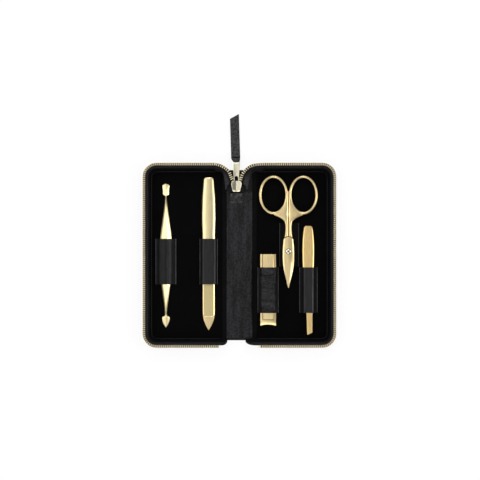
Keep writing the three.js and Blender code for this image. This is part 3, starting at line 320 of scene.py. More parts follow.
# painted shade: dark lines and spots in the gold, in the scissors' seam, the screw's socket, round
# its head and at the clipper lever's end
painted_shade_metal = metal_material("painted_shade_dark_metal", "1c1a18", "2a2724", 0.4, 0.5, 0.5, 0.004)
print("metals", 7)

# %% [markdown]
# The floor is plain white to the camera and to the metal, which mirrors it, and an ordinary pale
# surface to the light that reaches the case. The world does the same, so the background is white
# without more light on the object. To a mirror the world is light with a dark strip right of its
# middle and darker sides, as a studio is: that shades one facet of each polished tool.

# %% Floor and world
WHITE_FLOOR_SIZE, WHITE_FLOOR_Z = 6, -0.0002
FLOOR_WHITE, SKY_LIGHT = 0.86, 0.62
# How bright a mirror sees the world, from its left side at -1 to its right side at 1.
MIRRORED = [
    (-1, 0.46), (-0.5, 0.78), (-0.15, 0.92), (0.08, 0.85), (0.25, 0.24), (0.44, 0.21), (0.58, 0.78),
    (0.75, 0.83), (1, 0.33),
]


def looked_at(tree):
    """1 for the rays of the camera and of glossy surfaces, and 1 for the glossy ones alone."""
    rays = add(tree, "LightPath").outputs
    either = {0: rays["Is Camera Ray"], 1: rays["Is Glossy Ray"]}
    return add(tree, "Math", either, operation="MAXIMUM").outputs[0], rays["Is Glossy Ray"]


bpy.ops.mesh.primitive_plane_add(size=WHITE_FLOOR_SIZE, location=(0, 0, WHITE_FLOOR_Z))
floor = bpy.context.object
floor.name = "floor"
floor_material, tree, place = new_material("plain_white_floor")
seen, glossy = looked_at(tree)
plain = add(tree, "BsdfDiffuse", {"Color": linear("f4f4f4")}).outputs[0]
white = add(tree, "Emission", {"Color": (1, 1, 1, 1), "Strength": 1}).outputs[0]
lit = add(tree, "MixShader", {0: FLOOR_WHITE, 1: plain, 2: white}).outputs[0]
shown = add(tree, "MixShader", {0: seen, 1: plain, 2: lit}).outputs[0]
add(tree, "OutputMaterial", {"Surface": shown})
floor.data.materials.append(floor_material)
floor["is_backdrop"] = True

world = bpy.data.worlds.new("studio")
bpy.context.scene.world = world
world.use_nodes = True
tree = world.node_tree
tree.nodes.clear()
seen, glossy = looked_at(tree)
direction = add(tree, "SeparateXYZ", {"Vector": add(tree, "TexCoord").outputs["Generated"]})
side_share = add(tree, "MapRange", {"Value": direction.outputs["X"], "From Min": -1})
side_light = add(tree, "ValToRGB", {"Fac": side_share.outputs[0]})
stops = side_light.color_ramp.elements
while len(stops) < len(MIRRORED):
    stops.new(0.5)
for stop, (x, bright) in zip(stops, MIRRORED):
    stop.position = (x + 1) / 2
    stop.color = (bright, bright, bright, 1)
to_others = spread(tree, seen, SKY_LIGHT, 1)
level = add(tree, "Mix", {"Factor": glossy, "A": to_others, "B": side_light.outputs[0]}).outputs[0]
sky = add(tree, "Background", {"Color": (1, 1, 1, 1), "Strength": level})
add(tree, "OutputWorld", {"Surface": sky.outputs[0]})
print("world tones", len(stops))


# %% [markdown]
# A strip box at the right draws the long highlights right of the middle of the loops. One box at
# each end lights the walls there, and a wide one fills from the left.

# %% Lamps
# Name, place, width and length in metres, and watts. Each box is turned to the middle of the case.
LAMPS = [
    ("strip_box", (1.05, 0, 0.52), (0.4, 1.2), 7),
    ("top_box", (0.1, 0.9, 0.8), (0.5, 0.5), 3.5),
    ("low_box", (0, -0.8, 0.75), (0.6, 0.4), 2),
    ("fill_box", (-0.8, 0.1, 0.8), (0.9, 0.9), 4),
]
for name, place, size, power in LAMPS:
    bpy.ops.object.light_add(type="AREA", location=place)
    lamp = bpy.context.object
    lamp.name = name
    lamp.data.shape = "RECTANGLE"
    lamp.data.size, lamp.data.size_y = size
    lamp.data.energy = power
    lamp.rotation_euler = (-Vector(place)).to_track_quat("-Z", "Y").to_euler()
print("lamps", len(LAMPS))

# %% [markdown]
# Every CAD node takes the finish of its record slot. The nodes that a modelled piece replaces
# later are hidden by that piece.

# %% Finishes for the CAD nodes
SLOT_FINISH = {
    "leather": leather["pebbled_calf"],
    "suede": suede,
    "board": black_board,
    "zip_tape": zip_tape_weave,
    "zip_metal": teeth_gold,
    "slider_metal": slider_plate,
    "tool_metal": satin_gold,
    "file_grit": grit_gold,
}
for row in frame["record"]["subparts"]:
    mesh = nodes[row["node"]].data
    mesh.materials.clear()
    mesh.materials.append(SLOT_FINISH[row["material_slot"]])

# %% [markdown]
# The soft pieces are made by carrying a section along a line, as leather and tape are in the real
# case. A piece is lofted through rings of points and its ends are closed, and some pieces then get
# a small bevel on their sharp corners. A mesh is given here point by point, because no tool of the
# editor lofts a section that changes on its way. Sizes are in millimetres and become metres when
# the mesh is made.

# %% Modelling helpers
def only(piece):
    """Selects one piece and nothing else."""
    bpy.ops.object.select_all(action="DESELECT")
    piece.select_set(True)
    bpy.context.view_layer.objects.active = piece


def sized(piece):
    """The size of a piece's box in millimetres."""
    return [round(size / MM, 2) for size in piece.dimensions]


@contextlib.contextmanager
def all_in_edit_mode(piece):
    """Edit mode on one piece, with the whole of it selected."""
    only(piece)
    bpy.ops.object.mode_set(mode="EDIT")
    bpy.ops.mesh.select_all(action="SELECT")
    yield
    bpy.ops.object.mode_set(mode="OBJECT")


def apply_modifiers(piece):
    only(piece)
    for modifier in list(piece.modifiers):
        bpy.ops.object.modifier_apply(modifier=modifier.name)


def lofted(name, rings):
    """A closed skin through rings of (x, y, z) points in millimetres, with both ends closed."""
    around = len(rings[0])
    points = [tuple(c * MM for c in point) for ring in rings for point in ring]
    last = (len(rings) - 1) * around
    faces = []
    for start in range(0, last, around):
        for k in range(around):
            here, following = start + k, start + (k + 1) % around
            faces.append((here, following, following + around, here + around))
    faces.append(tuple(reversed(range(around))))
    faces.append(tuple(last + k for k in range(around)))
    mesh = bpy.data.meshes.new(name)
    mesh.from_pydata(points, [], faces)
    piece = bpy.data.objects.new(name, mesh)
    bpy.context.collection.objects.link(piece)
    with all_in_edit_mode(piece):
        bpy.ops.mesh.normals_make_consistent(inside=False)
    return piece


def soften_edges(piece, width, segments=2, angle=35):
    """Rounds the sharp edges of a piece with a bevel, in millimetres."""
    bevel = piece.modifiers.new("bevel", "BEVEL")
    bevel.width = width * MM
    bevel.segments = segments
    bevel.limit_method = "ANGLE"
    bevel.angle_limit = math.radians(angle)
    apply_modifiers(piece)


def dress(piece, material, smooth=45):
    """Gives a piece its finish and smooth shading."""
    piece.data.materials.clear()
    piece.data.materials.append(material)
    only(piece)
    bpy.ops.object.shade_smooth_by_angle(angle=math.radians(smooth))
    return piece


def rounded(section, passes=2):
    """Cuts the corners of a closed section, so that leather has no hard edge."""
    for _ in range(passes):
        cut = []
        for k, (a, b) in enumerate(section):
            c, d = section[(k + 1) % len(section)]
            cut.append((0.75 * a + 0.25 * c, 0.75 * b + 0.25 * d))
            cut.append((0.25 * a + 0.75 * c, 0.25 * b + 0.75 * d))
        section = cut
    return section


def ripple(x, y, size, seed=0):
    """A smooth pseudo-random height from -1 to 1 that changes over size millimetres."""
    return noise.noise(Vector((x / size, y / size, 7.3 * seed)))


# %% [markdown]
# Each half's rim is a rectangle with two round corners. The wall, the tape and the teeth all follow
# it, each at its own distance outside the base, so one function gives the stations along it.

# %% The rim's line
BASE_X, BASE_Y, BASE_CORNER = 74.9, 71.3, 6
RUN_START, RUN_END = 20, 17
RIM_STEP, CORNER_STEPS = 2.5, 10
WAVE_LENGTH = 11


def rim_stations(step=RIM_STEP):
    """Places and outward directions along the right half's rim, with the corners turned smoothly."""
    middle_x, middle_y = BASE_X - BASE_CORNER, BASE_Y - BASE_CORNER
    stations = []

    def straight(a, b, way):
        count = max(2, round(math.dist(a, b) / step))
        for i in range(count):
            t = i / count
            stations.append(((a[0] + t * (b[0] - a[0]), a[1] + t * (b[1] - a[1])), way))

    def corner(centre, start):
        for i in range(CORNER_STEPS):
            angle = start - i / CORNER_STEPS * math.pi / 2
            way = (math.cos(angle), math.sin(angle))
            place = (centre[0] + BASE_CORNER * way[0], centre[1] + BASE_CORNER * way[1])
            stations.append((place, way))

    straight((RUN_START, BASE_Y), (middle_x, BASE_Y), (0, 1))
    corner((middle_x, middle_y), math.pi / 2)
    straight((BASE_X, middle_y), (BASE_X, -middle_y), (1, 0))
    corner((middle_x, -middle_y), 0)
    straight((middle_x, -BASE_Y), (RUN_END, -BASE_Y), (0, -1))
    stations.append(((RUN_END, -BASE_Y), (0, -1)))
    return stations


def round_the_rim(name, section, side, wave=0.0):
    """Carries a section of (distance outside the base, height) round one half's rim."""
    rings = []
    for (x, y), (way_x, way_y) in rim_stations():
        sway = wave * ripple(x, y, WAVE_LENGTH, side)
        rings.append([
            (side * (x + way_x * (out + sway)), y + way_y * (out + sway), z) for out, z in section
        ])
    return lofted(name, rings)


print("rim stations", len(rim_stations()))

# %% [markdown]
# The wall is thin leather over a soft core. It leans outwards from the base, bulges a little, and
# is turned in under the zip tape. The tape lies on its top edge with its cord inside the teeth.

# %% Walls and tapes
# Sections as (distance outside the base, height).
WALL_SECTION = [
    (-0.1, 1.2), (1.3, 2.4), (2.2, 4.6), (2.75, 7.2), (3.05, 9.6), (2.9, 10.9),
    (1.35, 10.9), (0.75, 9.0), (0.5, 6.8), (0.1, 4.6), (-0.5, 2.9), (-1.5, 1.3),
]
TAPE_SECTION = [(1.7, 11.0), (3.55, 11.0), (3.7, 11.35), (3.55, 11.75), (2.9, 11.65), (1.7, 11.5)]
CORD_SECTION = [(3.6, 11.05), (5.5, 11.05), (5.65, 11.3), (5.5, 11.55), (3.6, 11.65), (3.5, 11.35)]
WALL_WAVE = 0.12
HALVES = (("right", 1), ("left", -1))
for half, side in HALVES:
    wall = round_the_rim(f"{half}_soft_wall", rounded(WALL_SECTION), side, WALL_WAVE)
    dress(wall, leather["thin_wall"])
    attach(wall, f"{half}_half")
    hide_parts(f"{half}_wall")
    tape = round_the_rim(f"{half}_woven_tape", rounded(TAPE_SECTION, 1), side)
    dress(tape, zip_tape_weave)
    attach(tape, f"{half}_half")
    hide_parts(f"{half}_zip_tape")
    cord = round_the_rim(f"{half}_tape_edge", rounded(CORD_SECTION, 1), side)
    dress(cord, zip_tape_weave)
    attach(cord, f"{half}_half")
    print(half, "wall points", len(wall.data.vertices))

# %% [markdown]
# Zip teeth are small separate castings clamped on the tape's edge, 1.745 mm apart. One is modelled
# from a cube, with its corners bevelled, and copied along the rim, because hundreds of the same
# shape have to stay light.

# %% Teeth round the rim
TOOTH_PITCH = 1.745
TOOTH = (2.5, 0.66, 1.2)
TOOTH_BEVEL = 0.15
TOOTH_MIDDLE_OUT, TEETH_Z = 4.75, 11.6
TOOTH_LINE_STEP = 0.8


def one_tooth():
    bpy.ops.object.select_all(action="DESELECT")
    bpy.ops.mesh.primitive_cube_add(size=1, location=(0, 0, 0))
    tooth = bpy.context.object
    tooth.scale = [size * MM for size in TOOTH]
    bpy.ops.object.transform_apply(scale=True)
    with all_in_edit_mode(tooth):
        bpy.ops.mesh.bevel(offset=TOOTH_BEVEL * MM, segments=2, affect="EDGES")
    return tooth


def teeth_along(name, places):
    """Copies of the tooth at (x, y, z, turn) places, joined as one chain."""
    model = one_tooth()
    copies = []
    for x, y, z, turn in places:
        copy = model.copy()
        copy.data = model.data.copy()
        copy.matrix_world = Matrix.Translation(Vector((x, y, z)) * MM) @ Matrix.Rotation(turn, 4, "Z")
        bpy.context.collection.objects.link(copy)
        copies.append(copy)
    bpy.data.objects.remove(model)
    bpy.ops.object.select_all(action="DESELECT")
    for copy in copies:
        copy.select_set(True)
    bpy.context.view_layer.objects.active = copies[0]
    bpy.ops.object.join()
    chain = bpy.context.object
    bpy.ops.object.transform_apply(location=True, rotation=True, scale=True)
    chain.name = name
    return chain


def pitches_along(line):
    """For each tooth on a level line of points: the span's number and the share of the span."""
    travelled, wanted = 0.0, TOOTH_PITCH / 2
    for i, (a, b) in enumerate(zip(line, line[1:])):
        span = math.dist(a, b)
        while wanted <= travelled + span:
            yield i, (wanted - travelled) / span
            wanted += TOOTH_PITCH
        travelled += span


def between(a, b, t):
    """The pair of numbers that lies the share t of the way from a to b."""
    return a[0] + t * (b[0] - a[0]), a[1] + t * (b[1] - a[1])


def rim_tooth_places(side):
    """Even places along the middle line of the teeth, measured where they stand."""
    places, ways = zip(*rim_stations(TOOTH_LINE_STEP))
    line = [
        (x + way[0] * TOOTH_MIDDLE_OUT, y + way[1] * TOOTH_MIDDLE_OUT)
        for (x, y), way in zip(places, ways)
    ]
    teeth = []
    for i, t in pitches_along(line):
        x, y = between(line[i], line[i + 1], t)
        way_x, way_y = between(ways[i], ways[i + 1], t)
        teeth.append((side * x, y, TEETH_Z, math.atan2(way_y, side * way_x)))
    return teeth


for half, side in HALVES:
    places = rim_tooth_places(side)
    chain = teeth_along(f"{half}_rim_teeth", places)
    dress(chain, teeth_gold, 30)
    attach(chain, f"{half}_half")
    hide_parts(f"{half}_zip_teeth")
    print(half, "teeth", len(places))

# %% [markdown]
# From the straight rim the zip bends inwards and down to the slider, and thin leather gussets fill
# the space under it. The teeth are set out on the level, as the photograph shows them, and the
# gussets lie in long folds that gather towards the slider.

# %% Bends of the zip
SLIDER_X, BEND_END_Y, BEND_END_Z = -2.5, 62.3, 5.1
RIM_BEND_OUT, RIM_BEND_Z = 3.5, 11
# Lines as shares of the way from the slider to the rim's straight run.
BEND_LINES = {
    "right": [(1, 1, 1), (0.583, 0.94, 0.93), (0.333, 0.78, 0.66), (0.19, 0.576, 0.3),
              (0.083, 0.348, 0.04), (0.028, 0.12, 0.01), (0, 0, 0)],
    "left": [(1, 1, 1), (0.692, 0.9, 0.9), (0.446, 0.757, 0.62), (0.254, 0.606, 0.32),
             (0.162, 0.41, 0.06), (0.08, 0.18, 0.01), (0, 0, 0)],
}
FOOT_LINE = [(1, 1, 1), (0.5, 0.99, 0), (0.27, 0.84, 0), (0.13, 0.56, 0), (0.05, 0.26, 0), (0, 0, 0)]
BEND_STATIONS = 48
# Where the bending starts and ends, from the spine outwards.
BEND_REACH = {"right": (2.5, 16.5), "left": (7, 17)}
# The tape's section as (distance towards the teeth, height over the line).
BENT_TAPE = [(-1.7, 0.05), (2.0, 0.1), (2.15, 0.35), (2.0, 0.6), (-0.1, 0.62), (-1.7, 0.55)]
BENT_TOOTH_OUT, BENT_TOOTH_UP = 1.25, 0.6
GUSSET_STEPS, GUSSET_HALF_THICK = 14, 0.4
GUSSET_IN, GUSSET_DOWN = 1.2, 0.1
FOLD_DEPTH, FOLD_TURNS, FOLD_SLANT, FIRST_GATHER = 0.75, 3.4, 1.2, 0.25


def share_line(shares, start, end):
    """Points given as shares of the way from end to start."""
    return [[b + s * (a - b) for s, a, b in zip(share, start, end)] for share in shares]


def smooth_line(points, count):
    """Evenly numbered points on a Catmull-Rom line through the given rows of numbers."""
    points = [Vector(point) for point in points]
    ends = [2 * points[0] - points[1], *points, 2 * points[-1] - points[-2]]
    spans = len(points) - 1
    line = []
    for i in range(count + 1):
        u = min(i / count * spans, spans - 1e-9)
        k, t = int(u), u - int(u)
        a, b, c, d = ends[k : k + 4]
        square, cube = 2 * a - 5 * b + 4 * c - d, 3 * b - a - 3 * c + d
        line.append(0.5 * (2 * b + (c - a) * t + square * t**2 + cube * t**3))
    return line


def outward(line, i, side):
    """The level direction square to a line, towards the teeth."""
    along = line[min(i + 1, len(line) - 1)] - line[max(i - 1, 0)]
    return Vector((side * along.y, -side * along.x, 0)).normalized()


def bend_lines(half, side):
    """The line of the zip's bend and the line of the gusset's foot."""
    start = (side * RUN_START, BASE_Y + RIM_BEND_OUT, RIM_BEND_Z)
    end = (SLIDER_X + side * 4.5, BEND_END_Y, BEND_END_Z)
    foot_start = (start[0], BASE_Y - 0.7, 1.45)
    foot_end = (SLIDER_X + side * 8.8, 55, 2.3)
    rim = smooth_line(share_line(BEND_LINES[half], start, end), BEND_STATIONS)
    foot = smooth_line(share_line(FOOT_LINE, foot_start, foot_end), BEND_STATIONS)
    return rim, foot


def gusset_ring(low, top, out, share):
    """The gusset's section at one station: up its outer face and down its inner face."""
    gathered = min(1.0, FIRST_GATHER + share)
    faces = {GUSSET_HALF_THICK: [], -GUSSET_HALF_THICK: []}
    for k in range(GUSSET_STEPS + 1):
        t = k / GUSSET_STEPS
        waves = math.sin(FOLD_TURNS * math.pi * t + FOLD_SLANT * share)
        folds = FOLD_DEPTH * gathered * math.sin(math.pi * t) * waves
        for offset, face in faces.items():
            face.append(low.lerp(top, t) + out * (offset + folds))
    outer, inner = faces.values()
    return outer + inner[::-1]


def across_the_fold(piece, half, side, start=9, end=15):
    """Bakes the place of a soft piece near the fold into its mesh."""
    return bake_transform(piece)


for half, side in HALVES:
    rim, foot = bend_lines(half, side)
    outs = [outward(rim, i, side) for i in range(len(rim))]
    tape_rings, wall_rings = [], []
    for i, (point, out) in enumerate(zip(rim, outs)):
        tape_rings.append([point + out * o + Vector((0, 0, z)) for o, z in BENT_TAPE])
        top = point - out * GUSSET_IN - Vector((0, 0, GUSSET_DOWN))
        wall_rings.append(gusset_ring(foot[i], top, out, i / BEND_STATIONS))
    tape = dress(lofted(f"{half}_bent_tape", tape_rings), zip_tape_weave)
    across_the_fold(tape, half, side, *BEND_REACH[half])
    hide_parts(f"{half}_bend_tape")
    gusset = dress(lofted(f"{half}_pull_gusset", wall_rings), leather["folded_gusset"], 60)
    across_the_fold(gusset, half, side, *BEND_REACH[half])
    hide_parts(f"{half}_bend_wall")
    places = []
    for i, t in pitches_along([point.xy for point in rim]):
        middle = rim[i].lerp(rim[i + 1], t) + outs[i] * BENT_TOOTH_OUT
        turn = math.atan2(outs[i].y, outs[i].x)
        places.append((middle.x, middle.y, middle.z + BENT_TOOTH_UP, turn))
    chain = dress(teeth_along(f"{half}_bent_teeth", places), teeth_gold, 30)
    across_the_fold(chain, half, side, *BEND_REACH[half])
    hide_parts(f"{half}_bend_teeth")
    print(half, "bend teeth", len(places))

# %% [markdown]
# The loops are strips of smooth leather sewn down on both sides of a tool. A strip stands up over
# its tool as a low arch and lies flat as a flange beside it, and the flange ends in a rolled edge.
# Leather that is bent over a hard edge creases, most of all over the thick clipper, so each loop
# has its own depth of creases and its own finish.

# %% Loops
LINING_TOP = 3.5
# Body, middle, near and far end, half width and height inside, half of the flat top, half width
# with the flanges, depth of the creases, and the finishes of the strip and of its rolled edges.
LOOPS = {
    "pusher_loop": ("left_half", -61.5, -24.3, 13.7, 5.35, 3.95, 1.2, 8.7, 0.10,
                    "narrow_loop", "rolled_edge_highlight"),
    "file_loop": ("left_half", -25.7, -24.3, 13.7, 5.75, 2.95, 4.3, 7.6, 0.10,
                  "smooth_loop", "rolled_edge_highlight"),
    "clipper_loop": ("right_half", 24.0, -48.1, -10.1, 6.7, 7.7, 5.0, 8.8, 0.22,
                     "creased_loop_painted_highlight", "rolled_edge_highlight"),
    "tweezers_loop": ("right_half", 57.7, -48.1, -10.1, 5.15, 5.03, 3.4, 7.7, 0.16,
                      "smooth_loop", "rolled_edge_highlight"),
    # the scissors' loop: near-black, painted shade where it lies under the scissors
    "scissors_loop": ("right_half", 41.6, -9.6, 27.0, 6.4, 0.6, 5.4, 8.3, 0.03,
                      "painted_shade_black", "smooth_loop"),
}
LOOP_LEATHER, LOOP_FOOT, MOST_LIFT = 0.8, 0.85, 0.12
ARCH_STEPS, LOOP_STEPS, FLANGE_STEPS = 34, 56, 20
FLANGE_LAP, EDGE_RADIUS, EDGE_Z = 0.05, 0.34, 0.72


def evenly(low, high, steps):
    """Evenly spaced values from low to high, both of them included."""
    return [low + i / steps * (high - low) for i in range(steps + 1)]


def drawn(name, section, ys):
    """Carries a section of (x, z) straight along the y axis."""
    return lofted(name, [[(x, y, z) for x, z in section] for y in ys])


def circle(x, z, radius, sides=10):
    """A round section."""
    turns = [k * 2 * math.pi / sides for k in range(sides)]
    return [(x + radius * math.cos(turn), z + radius * math.sin(turn)) for turn in turns]


def arch(inner_half, inner_high, flat_half):
    """The outside of a strip over a tool: flat on the tool, then sloping to its feet."""
    outer, top = inner_half + LOOP_LEATHER, inner_high + LOOP_LEATHER
    corners = [
        (-outer, LOOP_FOOT), (-outer + 0.3, 0.45 * top), (-flat_half - 0.4, top - 0.25),
        (-flat_half * 0.5, top - 0.02), (flat_half * 0.5, top - 0.02), (flat_half + 0.15, top - 0.25),
        ((flat_half + outer) / 2 + 0.35, (top + LOOP_FOOT) / 2 + 0.5), (outer, LOOP_FOOT),
    ]
    line = smooth_line(corners, ARCH_STEPS)
    return [(point.x, max(LOOP_FOOT, min(top, point.y))) for point in line]


def loop_rings(x, low, high, inner_half, inner_high, upper, crease):
    """A strip's rings: the creased arch outside, and the same arch in the leather's depth below."""
    rings = []
    for i, y in enumerate(evenly(low, high, LOOP_STEPS)):
        edge = min(1.0, 6 * min(i, LOOP_STEPS - i) / LOOP_STEPS)
        ring = []
        for px, pz in upper:
            fine = 0.6 * ripple(6 * px, 2 * y, 5, inner_high)
            lift = crease * edge * (ripple(4 * px, y, 7, inner_half) + fine)
            ring.append((x + px, y, LINING_TOP + pz + min(lift, MOST_LIFT)))
        for px, pz in reversed(upper):
            inside = max(0.03, pz - LOOP_LEATHER - 0.02)
            ring.append((x + px * inner_half / (inner_half + LOOP_LEATHER), y, LINING_TOP + inside))
        rings.append(ring)
    return rings


for name, (body, x, low, high, inner_half, inner_high, flat_half, flange_half, crease, finish,
           edge_finish) in LOOPS.items():
    outer = inner_half + LOOP_LEATHER
    upper = arch(inner_half, inner_high, flat_half)
    rings = loop_rings(x, low, high, inner_half, inner_high, upper, crease)
    strip = dress(lofted(f"{name}_leather", rings), leather[finish], 60)
    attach(strip, body)
    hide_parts(name)
    wide = flange_half - outer
    section = rounded([(0, 0.02), (wide, 0.02), (wide, 0.8), (wide - 0.3, 0.98),
                       (wide - 0.6, EDGE_Z), (0.4, 0.66), (0, 0.86)], 1)
    for word, side in (("left", -1), ("right", 1)):
        inner_x = x + side * (outer - FLANGE_LAP)
        placed = [(inner_x + side * px, LINING_TOP + pz) for px, pz in section]
        flange = drawn(f"{name}_flange_{word}", placed, evenly(low, high, FLANGE_STEPS))
        dress(flange, leather["sewn_down_flange"], 40)
        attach(flange, body)
        ring = circle(inner_x + side * (wide - 0.3), LINING_TOP + EDGE_Z, EDGE_RADIUS)
        bead = drawn(f"{name}_rolled_edge_highlight_{word}", ring, evenly(low, high, FLANGE_STEPS))
        dress(bead, leather[edge_finish], 70)
        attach(bead, body)
    print(name, "arch", round(2 * outer, 2), "by", round(inner_high + LOOP_LEATHER, 2), "mm")

# %% [markdown]
# Sheets that lie flat, such as the covers and linings, have the right outline in the CAD model. A
# copy is taken, its loose triangles are merged, its flat faces are made whole again, and its edges
# are rounded as cut leather and folded suede are.

# %% Covers and linings
def softened_copy(node, name, width, segments=3, angle=30):
    """A merged copy of a CAD node with rounded edges. The node itself is left alone."""
    source = nodes[node]
    piece = bpy.data.objects.new(name, source.data.copy())
    bpy.context.collection.objects.link(piece)
    with all_in_edit_mode(piece):
        bpy.ops.mesh.remove_doubles(threshold=0.001 * MM)
        bpy.ops.mesh.dissolve_limited(angle_limit=math.radians(1))
    soften_edges(piece, width, segments, angle)
    return piece


for half in ("left", "right"):
    cover = softened_copy(f"{half}_cover", f"{half}_outer_leather", 0.4)
    dress(cover, leather["pebbled_calf"])
    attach(cover, f"{half}_half")
    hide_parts(f"{half}_cover")
    lining = softened_copy(f"{half}_lining", f"{half}_suede_panel", 0.4)
    dress(lining, suede)
    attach(lining, f"{half}_half")
    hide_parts(f"{half}_lining")
    print(half, "sheets", sized(lining))
spine_leather = softened_copy("spine_cover", "spine_outer_leather", 0.35)
dress(spine_leather, leather["pebbled_calf"])
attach(spine_leather, "spine")
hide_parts("spine_cover")

# %% [markdown]
# A thin welt, leather rolled over a cord, closes the gap between each lining and its wall.

# %% Welts
WELT_OUT, WELT_Z, WELT_RADIUS = -1.35, 3.05, 0.55
for half, side in HALVES:
    welt = round_the_rim(f"{half}_welt", circle(WELT_OUT, WELT_Z, WELT_RADIUS), side)
    dress(welt, leather["thin_wall"], 70)
    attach(welt, f"{half}_half")
    print(half, "welt points", len(welt.data.vertices))

# %% [markdown]
# The spine is lined with pebbled leather. It was stuck down over a board, so it is a little crowned
# and has long soft creases beside its edges, where it bends each time the case is closed. Between
# it and each half lies a thin strip of the same leather, coloured near-black as painted shade in
# the fold.

# %% Spine lining and folds
SPINE_LOW, SPINE_HIGH, SPINE_HALF = -69.2, 53.2, 10.9
PAD_UNDER, PAD_EDGE_Z, PAD_CROWN, PAD_EDGE_WIDE = 2.0, 2.05, 0.62, 1.2
PAD_CREASE, PAD_PEBBLE = 0.2, 0.04
PAD_STEPS, PAD_ROWS = 44, 80
rings = []
for y in evenly(SPINE_LOW, SPINE_HIGH, PAD_ROWS):
    ring = []
    for x in evenly(-SPINE_HALF, SPINE_HALF, PAD_STEPS):
        edge = min(1.0, (SPINE_HALF - abs(x)) / PAD_EDGE_WIDE)
        crown = PAD_CROWN * math.sqrt(max(0.0, edge * (2 - edge)))
        grain = PAD_CREASE * ripple(5 * x, y, 16, 3) + PAD_PEBBLE * ripple(x, y, 1.6, 5)
        ring.append((x, y, PAD_EDGE_Z + crown + grain * edge))
    rings.append(ring + [(x, y, PAD_UNDER) for x in evenly(SPINE_HALF, -SPINE_HALF, 4)])
spine_pad = lofted("spine_pebbled_lining", rings)
dress(spine_pad, leather["creased_spine"], 60)
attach(spine_pad, "spine")
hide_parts("spine_lining")
print("spine lining", sized(spine_pad))

# The folds' section as (distance from the middle, height). Points over FOLD_STILL_Z are uneven.
FOLD_SECTION = [
    (11.48, 0.05), (12.52, 0.05), (12.52, 1.14), (15.1, 1.14), (15.1, 1.55), (14.2, 1.75),
    (13.4, 1.55), (12.6, 1.78), (11.9, 1.58), (11.2, 1.85), (10.7, 1.7), (10.7, 1.14), (11.48, 1.14),
]
FOLD_STILL_Z, FOLD_UNEVEN, FOLD_ROWS = 1.2, 0.05, 60
for half, side in HALVES:
    rings = []
    for y in evenly(-BASE_Y, BASE_Y, FOLD_ROWS):
        rings.append([
            (side * x, y, z + (FOLD_UNEVEN * ripple(x * 3, y, 9, side) if z > FOLD_STILL_Z else 0))
            for x, z in FOLD_SECTION
        ])
    # The near-black leather is painted shade in the fold between the spine and the half.
    strip = lofted(f"{half}_fold_leather", rings)
    dress(strip, leather["painted_shade_black"])
    across_the_fold(strip, half, side)
    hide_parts(f"{half}_fold")
    print(half, "fold points", len(strip.data.vertices))

# %% [markdown]
# At the far end the wall and its tape turn in towards the spine and die away against it. The zip
# stops there are small castings, a little smaller than the CAD model has them.

# %% Far ends
END_LINE = [(1, 1), (0.62, 1), (0.31, 0.88), (0.13, 0.66), (0.04, 0.45), (0, 0.3)]
END_STEPS, END_LAP, END_X, END_Z = 26, 0.02, 7.6, 1.15
STOP_BEVEL, STOP_SCALE = 0.22, (0.6, 0.6, 0.8)


def far_end(name, section, side, material):
    """A section that follows the rim's end in towards the spine and sinks as it goes."""
    start, end = side * (RUN_END - END_LAP), SLIDER_X + side * END_X
    rings = []
    for share in smooth_line(END_LINE, END_STEPS):
        x, left = end + share.x * (start - end), share.y
        rings.append([(x, -(BASE_Y + left * out), END_Z + left * (z - END_Z)) for out, z in section])
    return dress(lofted(name, rings), material)


def scaled(piece, size):
    """Scales a piece about the middle of its points."""
    middle = sum((vertex.co for vertex in piece.data.vertices), Vector()) / len(piece.data.vertices)
    with all_in_edit_mode(piece):
        bpy.ops.transform.resize(value=size, center_override=middle)
    return piece


for half, side in HALVES:
    section = rounded(WALL_SECTION)
    wall = far_end(f"{half}_far_wall", section, side, leather["thin_wall"])
    across_the_fold(wall, half, side)
    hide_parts(f"{half}_end_wall")
    tape = far_end(f"{half}_far_tape", rounded(TAPE_SECTION, 1), side, zip_tape_weave)
    across_the_fold(tape, half, side)
    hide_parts(f"{half}_end_tape")
    stop = softened_copy(f"{half}_zip_stop", f"{half}_end_stop", STOP_BEVEL)
    dress(scaled(stop, STOP_SCALE), teeth_gold)
    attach(stop, f"{half}_half")
    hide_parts(f"{half}_zip_stop")
    print(half, "stop", sized(stop))

# %% [markdown]
# The closed end of the zip runs under a tab of the spine's leather, which was pressed over it and
# swells towards the slider as a soft mound; the tab's paler tone is a painted highlight on that
# mound. The tab is cut off there, and a slightly raised near-black strip at its cut end is painted
# shade, the shadow of that edge. The tape under it is woven, and the closed chain is two rows of
# the same teeth, meshed half a pitch apart.

# %% Zip end
TAB_LOW, TAB_HIGH, TAB_HALF, TAB_FOOT, TAB_TOP = 43.5, 52.3, 6.1, 2.3, 7.1
TAB_AROUND, TAB_ROWS, TAB_ROUND = 24, 32, 2.8
SWOLLEN_AT, START_WIDE, START_HIGH = 0.72, 0.84, 0.12
# The near-black strip at the cut end, painted shade: how far beyond the cut, and how much smaller
# than the tab.
CUT_EDGE_SHADE = ((-0.6, 0.2), (-0.5, -0.08), (0, -0.08), (0.45, 0), (0.65, 0.35))
CHAIN_LOW, CHAIN_Z, CHAIN_OUT, CHAIN_TEETH = 50.2, 5.95, 0.75, 4


def tab_ring(y, half, high):
    """A flat-bottomed arch across the zip, the tab's outline at one place along it."""
    ring = []
    for angle in evenly(0, math.pi, TAB_AROUND):
        x = -half * math.cos(angle)
        rise = (1 - min(1.0, abs(x / half)) ** TAB_ROUND) ** (1 / TAB_ROUND)
        ring.append((SLIDER_X + x, y, TAB_FOOT + high * rise))
    return ring


